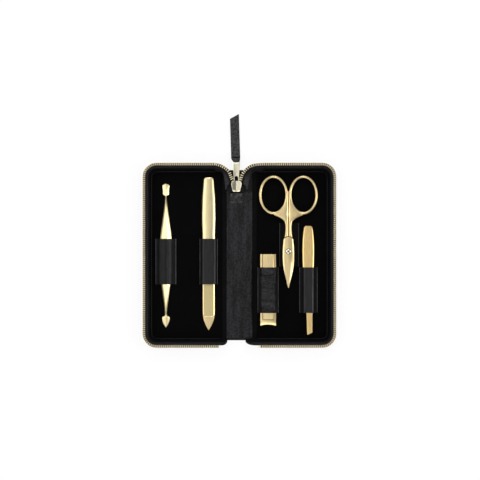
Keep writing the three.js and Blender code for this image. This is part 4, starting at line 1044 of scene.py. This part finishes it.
rings = []
for t in evenly(0, 1, TAB_ROWS):
    swell = min(1.0, t / SWOLLEN_AT)
    swell = swell * swell * (3 - 2 * swell)
    half = TAB_HALF * (START_WIDE + (1 - START_WIDE) * swell)
    high = (TAB_TOP - TAB_FOOT) * (START_HIGH + (1 - START_HIGH) * swell)
    rings.append(tab_ring(TAB_LOW + t * (TAB_HIGH - TAB_LOW), half, high))
tab = lofted("zip_end_leather_tab", rings)
soften_edges(tab, 0.3, 3, 60)
# The paler leather is a painted highlight on the mound.
dress(tab, leather["tab_painted_highlight"], 60)
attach(tab, "spine")
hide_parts("zip_end_tab")
# Painted shade: a near-black strip for the shadow of the tab's cut edge.
edge = lofted("zip_end_cut_edge_shade", [
    tab_ring(TAB_HIGH + beyond, TAB_HALF - less, TAB_TOP - TAB_FOOT - less)
    for beyond, less in CUT_EDGE_SHADE
])
dress(edge, leather["painted_shade_black"], 60)
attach(edge, "spine")
tape = softened_copy("zip_end_tape", "zip_end_woven_tape", 0.15)
dress(tape, zip_tape_weave)
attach(tape, "spine")
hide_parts("zip_end_tape")
places = []
for side, later, turn in ((1, 0, 0), (-1, 0.5, math.pi)):
    for k in range(CHAIN_TEETH):
        y = CHAIN_LOW + (k + later) * TOOTH_PITCH
        places.append((SLIDER_X + side * CHAIN_OUT, y, CHAIN_Z, turn))
chain = teeth_along("zip_end_meshed_teeth", places)
dress(chain, teeth_gold, 30)
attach(chain, "spine")
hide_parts("zip_end_chain")
print("zip end teeth", len(places), "tab", sized(tab))

# %% [markdown]
# The slider is a plated casting. Its face is a shallow valley: two facets meet in the middle, and
# the left one mirrors shade while the right one mirrors light. The flanges and the bridge under it
# keep the CAD shape with cast, rounded edges, and its plate is thinned to carry the face.

# %% Slider and pull
SLIDER_Y, SLIDER_LONG, SLIDER_HALF = 53.1, 8.9, 4.4
SLIDER_FACE_Z, SLIDER_TOP_Z, VALLEY_Z = 6.75, 7.5, 6.8
PLATE_LOW, PLATE_LEFT = 6.6, 0.12
RIDGE_WIDE, VALLEY_LEFT = 0.35, -0.3
# The face's outline, as shares of the slider's length and of half its width.
FACE_OUTLINE = [
    (0.02, 0.56), (0.06, 0.66), (0.2, 0.76), (0.45, 0.88), (0.72, 0.97), (0.86, 0.93), (0.96, 0.8),
    (0.985, 0.7),
]
body = softened_copy("slider_body", "slider_casting", 0.14, 2)
for vertex in body.data.vertices:
    if vertex.co.z > PLATE_LOW * MM:
        vertex.co.z = PLATE_LOW * MM + PLATE_LEFT * (vertex.co.z - PLATE_LOW * MM)
dress(body, slider_plate)
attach(body, "slider")
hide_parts("slider_body")
rings = []
for at, half_share in FACE_OUTLINE:
    half, y = half_share * SLIDER_HALF, SLIDER_Y + at * SLIDER_LONG
    ridge = SLIDER_FACE_Z + (SLIDER_TOP_Z - SLIDER_FACE_Z) * min(1.0, 8 * at)
    section = [
        (-half, SLIDER_FACE_Z), (half, SLIDER_FACE_Z), (half, ridge), (half - RIDGE_WIDE, ridge),
        (VALLEY_LEFT, VALLEY_Z), (RIDGE_WIDE - half, ridge), (-half, ridge),
    ]
    rings.append([(SLIDER_X + px, y, pz) for px, pz in section])
face = lofted("slider_valley_face", rings)
soften_edges(face, 0.12)
dress(face, slider_plate, 20)
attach(face, "slider")
pull = softened_copy("puller_plate", "puller_casting", 0.22)
dress(pull, slider_plate)
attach(pull, "puller")
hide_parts("puller_plate")
print("slider", sized(face), "mm")

# %% [markdown]
# The pull strap is one strip of pebbled leather, folded round the end bar of the pull and glued to
# itself, with a slanted cut at its free end. Its other end stops a little beyond the bar, with a
# raised near-black strip there, painted shade for the shadow of that cut end, and a groove beside
# it. A section is carried along the folded line.

# %% Pull strap
STRAP_BAR = Vector((SLIDER_X, 79.6, 0))
STRAP_LEAN, STRAP_STEPS = 0.03, 240
STRAP_HALF, STRAP_LAYER, STRAP_SLANT, SLANT_FROM = 3.8, 0.76, 3.9, 30
STRAP_ASIDE, TAIL_Y, PULL_Z, UPPER_Z = 0.55, 2.2, 3.2, 3
SLOT_HALF, FOLD_HALF = 2.12, 3.05
GROOVE_DEEP, GROOVE_HALF, STRAP_UNEVEN = 0.35, 0.7, 0.03
# The folded line as (distance beyond the bar, height), from the lower end to the upper.
STRAP_LINE = [
    (38.6, 1.4), (28, 1.42), (18, 1.4), (11, 1.4), (8, 1.5), (5.4, 2.35), (3.0, 3.75), (1.0, 4.25),
    (-0.5, 4.15), (-1.5, 3.75), (-1.58, 3.2), (-1.5, 2.65), (-0.5, 2.28), (1.0, 2.1), (3.0, 1.75),
    (5.4, 0.85), (8, 0.47), (11, 0.45), (18, 0.45), (28, 0.47), (38.6, 0.45),
]
# The section, as shares of half the width and of the leather's depth.
STRAP_SECTION = rounded([
    (-1, -0.5), (-0.4, -0.5), (0.4, -0.5), (1, -0.5), (1, 0.5), (0.4, 0.5), (-0.4, 0.5), (-1, 0.5),
], 1)
# A near-black strip at the tail's cut end, painted shade for the shadow of that step, as (along,
# height).
TAIL_SHADE_SECTION = rounded([(-0.6, 3.7), (0.6, 3.5), (0.6, 4.28), (0.1, 4.45), (-0.6, 4.6)], 1)
TAIL_LESS = 0.12
STRAP_TURN = Matrix.Rotation(STRAP_LEAN, 4, "Z")


def strap_half(y, z):
    """Half the strap's width: narrow in the slot, wider over the bar, full beyond the fold."""
    out_of_slot = max(0.0, min(1.0, (abs(z - PULL_Z) - 0.5) / 0.4))
    folded = SLOT_HALF + (FOLD_HALF - SLOT_HALF) * (out_of_slot if y < 0 else 1)
    opened = max(0.0, min(1.0, (y + 0.4) / 2.4))
    return folded + (STRAP_HALF - folded) * opened * (2 - opened)


def strap_ring(point, along):
    """The strap's section at one point of its line."""
    up = Vector((0, -along.z, along.y))
    half = strap_half(point.y, point.z)
    aside = STRAP_ASIDE * (half - SLOT_HALF) / (STRAP_HALF - SLOT_HALF)
    slant = STRAP_SLANT * max(0.0, (point.y - SLANT_FROM) / (STRAP_LINE[0][0] - SLANT_FROM))
    groove = GROOVE_DEEP * max(0.0, 1 - abs(point.y - TAIL_Y) / GROOVE_HALF)
    ring = []
    for px, pz in STRAP_SECTION:
        x, outside = px * half - aside, pz > 0
        uneven = STRAP_UNEVEN * ripple(x, point.y, 2.2, 9) * (1 if outside else -1)
        place = point + up * (pz * STRAP_LAYER + uneven)
        y = place.y - slant * (1 - px) / 2
        z = place.z - (groove if outside and point.z > UPPER_Z else 0)
        ring.append(STRAP_BAR + STRAP_TURN @ Vector((x, y, z)))
    return ring


line = smooth_line([(0, y, z) for y, z in STRAP_LINE], STRAP_STEPS)
rings = []
for i, point in enumerate(line):
    along = (line[min(i + 1, STRAP_STEPS)] - line[max(i - 1, 0)]).normalized()
    rings.append(strap_ring(point, along))
strap = dress(lofted("folded_pull_strap", rings), leather["strap_pebbled"], 60)
strap_root, strap_free = (Vector((SLIDER_X, STRAP_BAR.y + y, PULL_Z)) * MM for y in (0.8, 6.5))
tuple(strap_root)
tuple(strap_free)
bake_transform(strap)
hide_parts("pull_strap")
rings = []
for share in (-1, -0.6, -0.2, 0.2, 0.6, 1):
    x = share * (STRAP_HALF - TAIL_LESS) - STRAP_ASIDE
    rings.append([STRAP_BAR + STRAP_TURN @ Vector((x, TAIL_Y + y, z)) for y, z in TAIL_SHADE_SECTION])
# Painted shade at the tail's cut end.
tail_shade_strip = lofted("strap_tail_cut_edge_shade", rings)
dress(tail_shade_strip, leather["painted_shade_black"], 60)
tuple(strap_root)
tuple(strap_free)
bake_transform(tail_shade_strip)
print("strap", sized(strap), "mm")

# %% [markdown]
# The pusher, the file and the tweezers are drop forged bars, ground to a section that changes along
# their length. Each is a row of stations: how far along, how wide, how high, and for the tweezers
# how far the arm lifts, shifts and slants. The stations are joined by a smooth line, so the waists
# flow, and each tool has its own section.

# %% Forged bars
TOOL_Z = 3.6
LEAST_WIDE, LEAST_HIGH = 0.03, 0.12
# Sections as shares of half the width and of the height.
RIDGED = rounded([
    (-0.8, 0.04), (0, 0), (0.8, 0.04), (1, 0.3), (0.92, 0.44), (0.2, 0.98), (0.1, 1.02),
    (-0.02, 0.97), (-0.5, 0.8), (-0.93, 0.46), (-1, 0.3),
], 1)
DOMED = rounded([
    (-0.85, 0.02), (0.85, 0.02), (1, 0.22), (0.97, 0.48), (0.78, 0.78), (0.42, 0.96), (0, 1.02),
    (-0.42, 0.96), (-0.78, 0.78), (-0.97, 0.48), (-1, 0.22),
], 2)
BEVELLED = rounded([
    (-0.9, 0), (0.9, 0), (1, 0.12), (1, 0.55), (0.8, 0.97), (0.74, 1), (-0.74, 1), (-0.8, 0.97),
    (-1, 0.55), (-1, 0.12),
], 1)
PUSHER_X, PUSHER_Y, PUSHER_SIZE = -61.5, -60.6, (120.2, 10.2, 3.6)
PUSHER_ROWS = [
    (0, 0.04, 0.2), (0.016, 0.27, 0.26), (0.04, 0.52, 0.32), (0.066, 0.63, 0.4), (0.076, 0.55, 0.45),
    (0.084, 0.25, 0.5), (0.103, 0.205, 0.55), (0.1375, 0.27, 0.62), (0.193, 0.43, 0.75),
    (0.2625, 0.65, 0.88), (0.304, 0.76, 0.94), (0.4, 0.92, 1), (0.485, 1, 1), (0.554, 1, 1),
    (0.62, 0.96, 0.98), (0.679, 0.81, 0.92), (0.7486, 0.6, 0.84), (0.818, 0.38, 0.72),
    (0.867, 0.25, 0.62), (0.901, 0.18, 0.55), (0.915, 0.2, 0.5), (0.926, 0.5, 0.45),
    (0.957, 0.51, 0.4), (0.985, 0.59, 0.34), (0.995, 0.46, 0.3), (1, 0.24, 0.26),
]
FILE_X, HANDLE_Y, HANDLE_SIZE = -25.7, -8, (73.1, 11.5, 2.6)
HANDLE_ROWS = [
    (0, 0.9, 0.9), (0.306, 0.93, 1), (0.397, 0.957, 1), (0.489, 0.993, 1), (0.569, 1, 1),
    (0.66, 0.98, 1), (0.74, 0.95, 1), (0.797, 0.913, 0.98), (0.854, 0.86, 0.94), (0.911, 0.8, 0.88),
    (0.974, 0.735, 0.78), (0.991, 0.67, 0.7), (1, 0.56, 0.6),
]


def forged_bar(name, section, rows, size, origin, count):
    """A bar of (length, width, height) whose section follows the rows."""
    long, wide, thick = size
    rings = []
    for station in smooth_line(rows, count):
        at, broad, high, lift, shift, slant = [*station, 0, 0, 0][:6]
        broad, high = max(broad, LEAST_WIDE), max(high, LEAST_HIGH)
        y = origin[1] + max(0.0, min(1.0, at)) * long
        ring = []
        for px, pz in section:
            across = px * broad * wide / 2
            x, z = origin[0] + across + shift * wide, origin[2] + (lift + pz * high) * thick
            ring.append((x, y + slant * across, z))
        rings.append(ring)
    return lofted(name, rings)


pusher = forged_bar(
    "forged_cuticle_pusher", RIDGED, PUSHER_ROWS, PUSHER_SIZE, (PUSHER_X, PUSHER_Y, TOOL_Z), 150
)
dress(pusher, pale_gold, 22)
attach(pusher, "pusher")
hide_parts("cuticle_pusher")
handle = forged_bar(
    "domed_file_handle", DOMED, HANDLE_ROWS, HANDLE_SIZE, (FILE_X, HANDLE_Y, TOOL_Z), 90
)
soften_edges(handle, 0.2, 2, 50)
dress(handle, pale_gold, 50)
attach(handle, "file")
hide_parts("file_handle")
for piece in (pusher, handle):
    print(piece.name, sized(piece))

# %% [markdown]
# The file's blade is flat steel with a smooth bright border and point. Its abrasive face is etched,
# so it is matt and darker, and stands a few hundredths of a millimetre proud.

# %% File blade
BLADE_Y, BLADE_Z, BLADE_SIZE = -62.5, 4.0, (54.5, 10.2, 1.3)
BLADE_ROWS = [
    (0, 0.04, 0.3), (0.022, 0.2, 0.34), (0.061, 0.43, 0.42), (0.084, 0.54, 0.5), (0.15, 0.81, 0.66),
    (0.2, 0.925, 0.8), (0.215, 0.95, 1), (0.26, 0.985, 1), (0.31, 1, 1), (0.997, 1, 1),
]
GRIT_HALF, GRIT_Z = 4.1, 5.3
GRIT_SECTION = [(-1, -0.15), (1, -0.15), (1, 0.02), (0.94, 0.05), (-0.94, 0.05), (-1, 0.02)]
GRIT_ROWS = [(-50.9, 0.96), (-49.7, 0.99), (-30, 1), (-8.0, 1)]
blade = forged_bar(
    "plated_file_blade", BEVELLED, BLADE_ROWS, BLADE_SIZE, (FILE_X, BLADE_Y, BLADE_Z), 90
)
dress(blade, satin_gold, 30)
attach(blade, "file")
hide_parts("file_blade")
grit = lofted("etched_file_face", [
    [(FILE_X + px * GRIT_HALF * wide, y, GRIT_Z + pz) for px, pz in GRIT_SECTION]
    for y, wide in GRIT_ROWS
])
dress(grit, grit_gold)
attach(grit, "file")
print("file face", sized(grit))

# %% [markdown]
# The tweezers are two arms joined at the pull end. Each is flat with ground bevels along both
# edges, which mirror the light as two bright lines, and its tip is cut on a slant.

# %% Tweezers
TWEEZERS_X, TWEEZERS_Y, ARM_SIZE = 57.7, -66.5, (90.9, 9.8, 1.3)
TIP_ROWS, TIP_HIGH = 2, 0.7
# How far along, how wide, how far aside, how far the upper arm lifts, and the slant of the end.
ARM_ROWS = [
    (0.0106, 0.43, 0.1, 2.4, 0.46), (0.055, 0.48, 0.09, 2.42, 0), (0.2, 0.54, 0.066, 2.55, 0),
    (0.32, 0.63, 0.04, 2.6, 0), (0.458, 0.77, 0.01, 2.5, 0), (0.614, 0.94, -0.017, 2.2, 0),
    (0.733, 1, -0.017, 1.75, 0), (0.825, 1, -0.017, 1.4, 0), (0.89, 0.95, -0.017, 1.16, 0),
    (0.945, 0.855, -0.017, 1.04, 0), (0.983, 0.74, -0.017, 1.04, 0), (0.997, 0.6, -0.017, 1.04, 0),
    (1, 0.5, -0.017, 1.04, 0),
]
for arm, body, upper in (("lower", "tweezers", 0), ("upper", "tweezers_arm", 1)):
    rows = [
        (at, broad, TIP_HIGH if i < TIP_ROWS else 1, lift * upper, shift, slant)
        for i, (at, broad, shift, lift, slant) in enumerate(ARM_ROWS)
    ]
    name, origin = f"tweezers_{arm}_ground_arm", (TWEEZERS_X, TWEEZERS_Y, TOOL_Z)
    piece = dress(forged_bar(name, BEVELLED, rows, ARM_SIZE, origin, 96), warm_gold, 30)
    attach(piece, body)
    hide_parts(f"tweezers_{arm}_arm")
    print(name, sized(piece))

# %% [markdown]
# Each half of the scissors is one forging: a round finger ring that flows into a flat shank. Box
# modelling can't give that flow, so ring and shank are lofted and fused by a voxel remesh, then
# smoothed as polishing smooths them. A pocket is cut where the blades lie in the shanks, and its
# narrow gap is the arched seam above the screw. A dark strip down in that seam is painted shade.
# Half of it belongs to each half of the scissors, because the halves turn apart.

# %% Scissors, rings and shanks
PIVOT_X, PIVOT_Y = 40.9, 3.2
# How far the shank lies from the pivot along y, and how wide it is there.
SHANK_ROWS = [
    (8.2, 4.3), (9.5, 4.15), (11.3, 3.8), (13.5, 3.25), (16, 2.95), (19, 2.8), (21.7, 2.85),
    (23.5, 3.2), (25, 3.8), (26.5, 5.2), (27.9, 7.2), (29.2, 10), (30.2, 12.3), (31.2, 12.9),
    (32.2, 12), (33.4, 9.9), (35.5, 7.2), (38.6, 4.7), (41.5, 3.5), (44.7, 2.6), (48.5, 1.5),
    (50.4, 0.5),
]
# The section, as shares of the width from the inner edge and of the height.
SHANK_SECTION = [
    (0, 0.2), (0, 0.74), (0.1, 0.93), (0.3, 1), (0.6, 0.98), (0.84, 0.84), (0.96, 0.64), (1, 0.44),
    (0.96, 0.22), (0.85, 0.06), (0.6, 0), (0.1, 0),
]
SHANK_INNER, SHANK_Z, SHANK_HIGH, SHANK_LEAST, SHANK_STEPS = 0.16, 5.0, 3.2, 0.2, 110
THINNED, THIN_FROM, THIN_OVER = 0.2, 24, 8
RING_MIDDLE, RING_RADII, RING_WIDE, RING_HIGH, RING_Z = (12.5, 47.1), (11.0, 15.2), 1.2, 1.35, 6.55
RING_START, RING_STEPS, RING_AROUND = math.radians(200), 96, 14
SEAM_Y, SEAM_HALF, SEAM_RISE, SEAM_GAP = 10.2, 3.65, 1.85, 0.6
POCKET_HALF, POCKET_LOW_Y, POCKET_LOW_Z, POCKET_HIGH_Z = 5.6, 7, 6.6, 9.5
SEAM_SHADE_INNER, SEAM_SHADE_OUTER, SEAM_SHADE_LOW_Z, SEAM_SHADE_HIGH_Z = 0.02, SEAM_GAP - 0.03, 6.62, 7.0
FUSE_VOXEL, POLISH_PASSES = 0.26, 5


def on_seam(out, angle):
    """A point of the seam's arch, opened by out."""
    y = PIVOT_Y + SEAM_Y + (SEAM_RISE + out) * math.sin(angle)
    return PIVOT_X + (SEAM_HALF + out) * math.cos(angle), y


def finger_ring(name, side):
    """An oval ring of a round section, drawn all the way round."""
    rings = []
    for a in evenly(RING_START, RING_START + 2 * math.pi, RING_STEPS):
        way = Vector((math.cos(a) / RING_RADII[0], math.sin(a) / RING_RADII[1])).normalized()
        x = RING_MIDDLE[0] + RING_RADII[0] * math.cos(a)
        y = RING_MIDDLE[1] + RING_RADII[1] * math.sin(a)
        rings.append([
            (PIVOT_X + side * (x + way.x * out * RING_WIDE), PIVOT_Y + y + way.y * out * RING_WIDE,
             RING_Z + RING_HIGH * up)
            for out, up in circle(0, 0, 1, RING_AROUND)
        ])
    return lofted(name, rings)


def flat_shank(name, side):
    """The shank with its shoulder, which reaches round the outside of the ring."""
    rings = []
    for row in smooth_line(SHANK_ROWS, SHANK_STEPS):
        thin = THINNED * max(0.0, min(1.0, (row.x - THIN_FROM) / THIN_OVER))
        wide = max(SHANK_LEAST, row.y - SHANK_INNER)
        rings.append([
            (PIVOT_X + side * (SHANK_INNER + u * wide), PIVOT_Y + row.x,
             SHANK_Z + thin + w * (SHANK_HIGH - 2 * thin))
            for u, w in SHANK_SECTION
        ])
    return lofted(name, rings)


def seam_pocket():
    """The space of the blades' arched end, opened by the seam."""
    outline = [on_seam(SEAM_GAP, angle) for angle in evenly(0, math.pi, 20)]
    left, right = PIVOT_X - POCKET_HALF, PIVOT_X + POCKET_HALF
    high, low = PIVOT_Y + SEAM_Y, PIVOT_Y + POCKET_LOW_Y
    outline += [(left, high), (left, low), (right, low), (right, high)]
    heights = (POCKET_LOW_Z, POCKET_HIGH_Z)
    return lofted("seam_pocket", [[(x, y, z) for x, y in outline] for z in heights])


def fused(parts, voxel, passes):
    """Joins overlapping lofts into one even skin and smooths it."""
    only(parts[0])
    for part in parts[1:]:
        part.select_set(True)
    bpy.ops.object.join()
    piece = bpy.context.object
    remesh = piece.modifiers.new("even skin", "REMESH")
    remesh.mode, remesh.voxel_size = "VOXEL", voxel * MM
    polish = piece.modifiers.new("polish", "SMOOTH")
    polish.factor, polish.iterations = 0.5, passes
    apply_modifiers(piece)
    return piece


for side, body, first_turn in ((-1, "scissors_front", 90), (1, "scissors_back", 0)):
    node = f"{body}_half"
    parts = [finger_ring(f"{node}_ring", side), flat_shank(f"{node}_shank", side)]
    forging = fused(parts, FUSE_VOXEL, POLISH_PASSES)
    forging.name = f"{node}_forging"
    pocket = seam_pocket()
    cut = forging.modifiers.new("pocket", "BOOLEAN")
    cut.operation, cut.object = "DIFFERENCE", pocket
    apply_modifiers(forging)
    bpy.data.objects.remove(pocket)
    dress(forging, satin_gold, 50)
    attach(forging, body)
    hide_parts(node)
    # Painted shade: a dark strip down in the seam's gap, half of it on each half.
    rings = []
    for angle in evenly(math.radians(first_turn), math.radians(first_turn + 90), 12):
        inner, outer = on_seam(SEAM_SHADE_INNER, angle), on_seam(SEAM_SHADE_OUTER, angle)
        rings.append([(*inner, SEAM_SHADE_LOW_Z), (*outer, SEAM_SHADE_LOW_Z), (*outer, SEAM_SHADE_HIGH_Z),
                      (*inner, SEAM_SHADE_HIGH_Z)])
    seam_shade = dress(lofted(f"{body}_seam_shade_strip", rings), painted_shade_metal, 40)
    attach(seam_shade, body)
    print(node, len(forging.data.polygons))

# %% [markdown]
# The blades are ground after forging, so their faces are flat and meet in lines: a bright bevel
# along each edge, a broad face, and right of its middle a face that mirrors shade. The screw was
# turned, with a domed head and a hollow socket. A dark disc down in the socket and a dark ring
# round the head's edge are painted shade.

# %% Scissors, blades and screw
# How far along y from the pivot, and half the width there, up to the arched end.
BLADE_OUTLINE = [
    (-30.5, 0.16), (-29.9, 0.35), (-28.2, 0.85), (-26, 1.35), (-23.9, 1.79), (-21.7, 2.35),
    (-19.6, 2.91), (-15.6, 3.76), (-12.2, 4.23), (-8.9, 4.56), (-4.6, 4.7), (0.3, 4.65),
    (5.2, 4.37), (8.2, 4.05), (9.6, 3.8),
]
BLADE_OUTLINE += [
    (SEAM_Y + SEAM_RISE * math.sin(turn), SEAM_HALF * math.cos(turn))
    for turn in evenly(0, math.radians(88), 11)
]
CREST_X, CREST_SHIFT, CREST_WIDE, CREST_RISE = 0.08, 0.4, 0.3, 0.26
EDGE_DEPTH, BEVEL_X, BEVEL_DROP = 0.5, 0.76, 0.16
# The screw's parts as (radius, height) along their outlines.
SCREW = [
    (1.2, 5.3), (1.2, 8.2), (1.95, 8.3), (1.98, 8.62), (1.8, 8.8), (1.3, 8.95), (0.78, 8.98),
    (0.6, 8.92), (0.52, 8.55),
]
# The dark disc in the socket and the dark ring round the head are painted shade.
SOCKET_SHADE = [(0.56, 8.5), (0.56, 8.72), (0.2, 8.66)]
HEAD_SHADE_RING = [(2.3, 8.3), (2.4, 8.44), (2.2, 8.52), (1.9, 8.46)]


def turned(name, profile, count=40):
    """A turned part on the scissors' pivot: circles of (radius, height) round an upright axis."""
    return lofted(name, [
        [(x, y, z) for x, y in circle(PIVOT_X, PIVOT_Y, radius, count)] for radius, z in profile
    ])


for name, body, low, high, crown in (
    ("upper", "scissors_front", 6.68, 8.2, CREST_RISE), ("lower", "scissors_back", 5.0, 6.5, 0)
):
    rings = []
    for y, half in BLADE_OUTLINE:
        crest = CREST_X + CREST_SHIFT * max(0.0, min(1.0, (-4 - y) / 8))
        rise = crown * min(1.0, half / 2)
        edge = EDGE_DEPTH * min(1.0, half / 3)
        profile = [
            (-1, low), (1, low), (1, high - edge), (BEVEL_X, high - BEVEL_DROP), (crest, high + rise),
            (crest - CREST_WIDE, high + rise), (-BEVEL_X, high), (-1, high - edge),
        ]
        rings.append([(PIVOT_X + u * half, PIVOT_Y + y, z) for u, z in profile])
    ground = lofted(f"scissors_{name}_blade", rings)
    soften_edges(ground, 0.05, 2, 30)
    dress(ground, satin_gold, 9)
    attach(ground, body)
    print(name, "blade", sized(ground))
screw = turned("scissors_domed_screw", SCREW)
dress(screw, slider_plate, 40)
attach(screw, "scissors_back")
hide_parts("scissors_screw")
# Painted shade in the socket and round the head's edge.
socket = turned("scissors_screw_socket_shade", SOCKET_SHADE)
dress(socket, painted_shade_metal, 40)
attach(socket, "scissors_back")
head_shade_ring = turned("scissors_screw_head_shade_ring", HEAD_SHADE_RING)
dress(head_shade_ring, painted_shade_metal, 40)
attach(head_shade_ring, "scissors_back")
print("screw", sized(screw))

# %% [markdown]
# The clipper's leaves and lever are stamped from sheet and tumbled before plating, which rounds
# every edge. Their outlines are in the CAD model, so copies get rounded edges. A dark rod that lies
# across the upper leaf in front of the lever's end is painted shade, the shadow of that end.

# %% Clipper
TUMBLED = {
    "clipper_lower_leaf": ("clipper", 0.16, 2),
    "clipper_upper_leaf": ("clipper_jaw", 0.16, 2),
    "clipper_rivet": ("clipper", 0.14, 2),
    "clipper_post": ("clipper", 0.14, 2),
    "clipper_lever": ("clipper", 0.22, 3),
}
SHADE_ROD_X, SHADE_ROD_Y, SHADE_ROD_Z, SHADE_ROD_HALF, SHADE_ROD_RADIUS, SHADE_ROD_SIDES = 24, -53.75, 8.95, 4.5, 0.3, 12
for node, (body, width, segments) in TUMBLED.items():
    piece = softened_copy(node, f"{node}_tumbled", width, segments)
    dress(piece, satin_gold, 32)
    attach(piece, body)
    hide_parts(node)
    print(node, sized(piece))
# Painted shade: a dark rod for the shadow of the lever's end.
section = circle(SHADE_ROD_Y, SHADE_ROD_Z, SHADE_ROD_RADIUS, SHADE_ROD_SIDES)
lever_end_shade = lofted("clipper_lever_end_shade_rod", [
    [(SHADE_ROD_X + x, y, z) for y, z in section] for x in (-SHADE_ROD_HALF, 0, SHADE_ROD_HALF)
])
dress(lever_end_shade, painted_shade_metal, 40)
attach(lever_end_shade, "clipper_jaw")

# %% [markdown]
# Beside the slider the spine's leather goes on to the edge, over the board. It is thin there, and
# the board stops under it.

# %% Spine end
BOARD_HALF, BOARD_END, BOARD_Z, BOARD_THICK = 10.15, 52.9, 1.55, 0.8
FLAP_HALF, FLAP_UNDER, FLAP_TOP, FLAP_UNEVEN, FLAP_STEPS = 10.6, 1.15, 1.78, 0.12, 24
THIN_EDGE, EDGE_DROP = 9, 0.1
bpy.ops.object.select_all(action="DESELECT")
middle_y = (BOARD_END + SPINE_LOW) / 2
bpy.ops.mesh.primitive_cube_add(size=1, location=(0, middle_y * MM, BOARD_Z * MM))
board = bpy.context.object
board.name = "spine_stiff_board"
board.scale = (2 * BOARD_HALF * MM, (BOARD_END - SPINE_LOW) * MM, BOARD_THICK * MM)
bpy.ops.object.transform_apply(location=True, scale=True)
soften_edges(board, 0.15)
dress(board, black_board)
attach(board, "spine")
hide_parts("spine_board")
rings = []
for y in evenly(BOARD_END + 0.1, BASE_Y - 0.5, FLAP_STEPS):
    ring = []
    for x in evenly(-FLAP_HALF, FLAP_HALF, FLAP_STEPS):
        drop = EDGE_DROP if abs(x) > THIN_EDGE else 0
        ring.append((x, y, FLAP_TOP + FLAP_UNEVEN * ripple(x, y, 3.5, 11) - drop))
    rings.append(ring + [(x, y, FLAP_UNDER) for x in (FLAP_HALF, 0, -FLAP_HALF)])
flap = lofted("spine_end_leather", rings)
dress(flap, leather["thin_wall"], 60)
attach(flap, "spine")
print("spine end", sized(flap))

bpy.context.view_layer.update()
visual_box = [list(corner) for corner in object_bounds()]
print("visual box", [[round(x / MM, 1) for x in corner] for corner in visual_box])
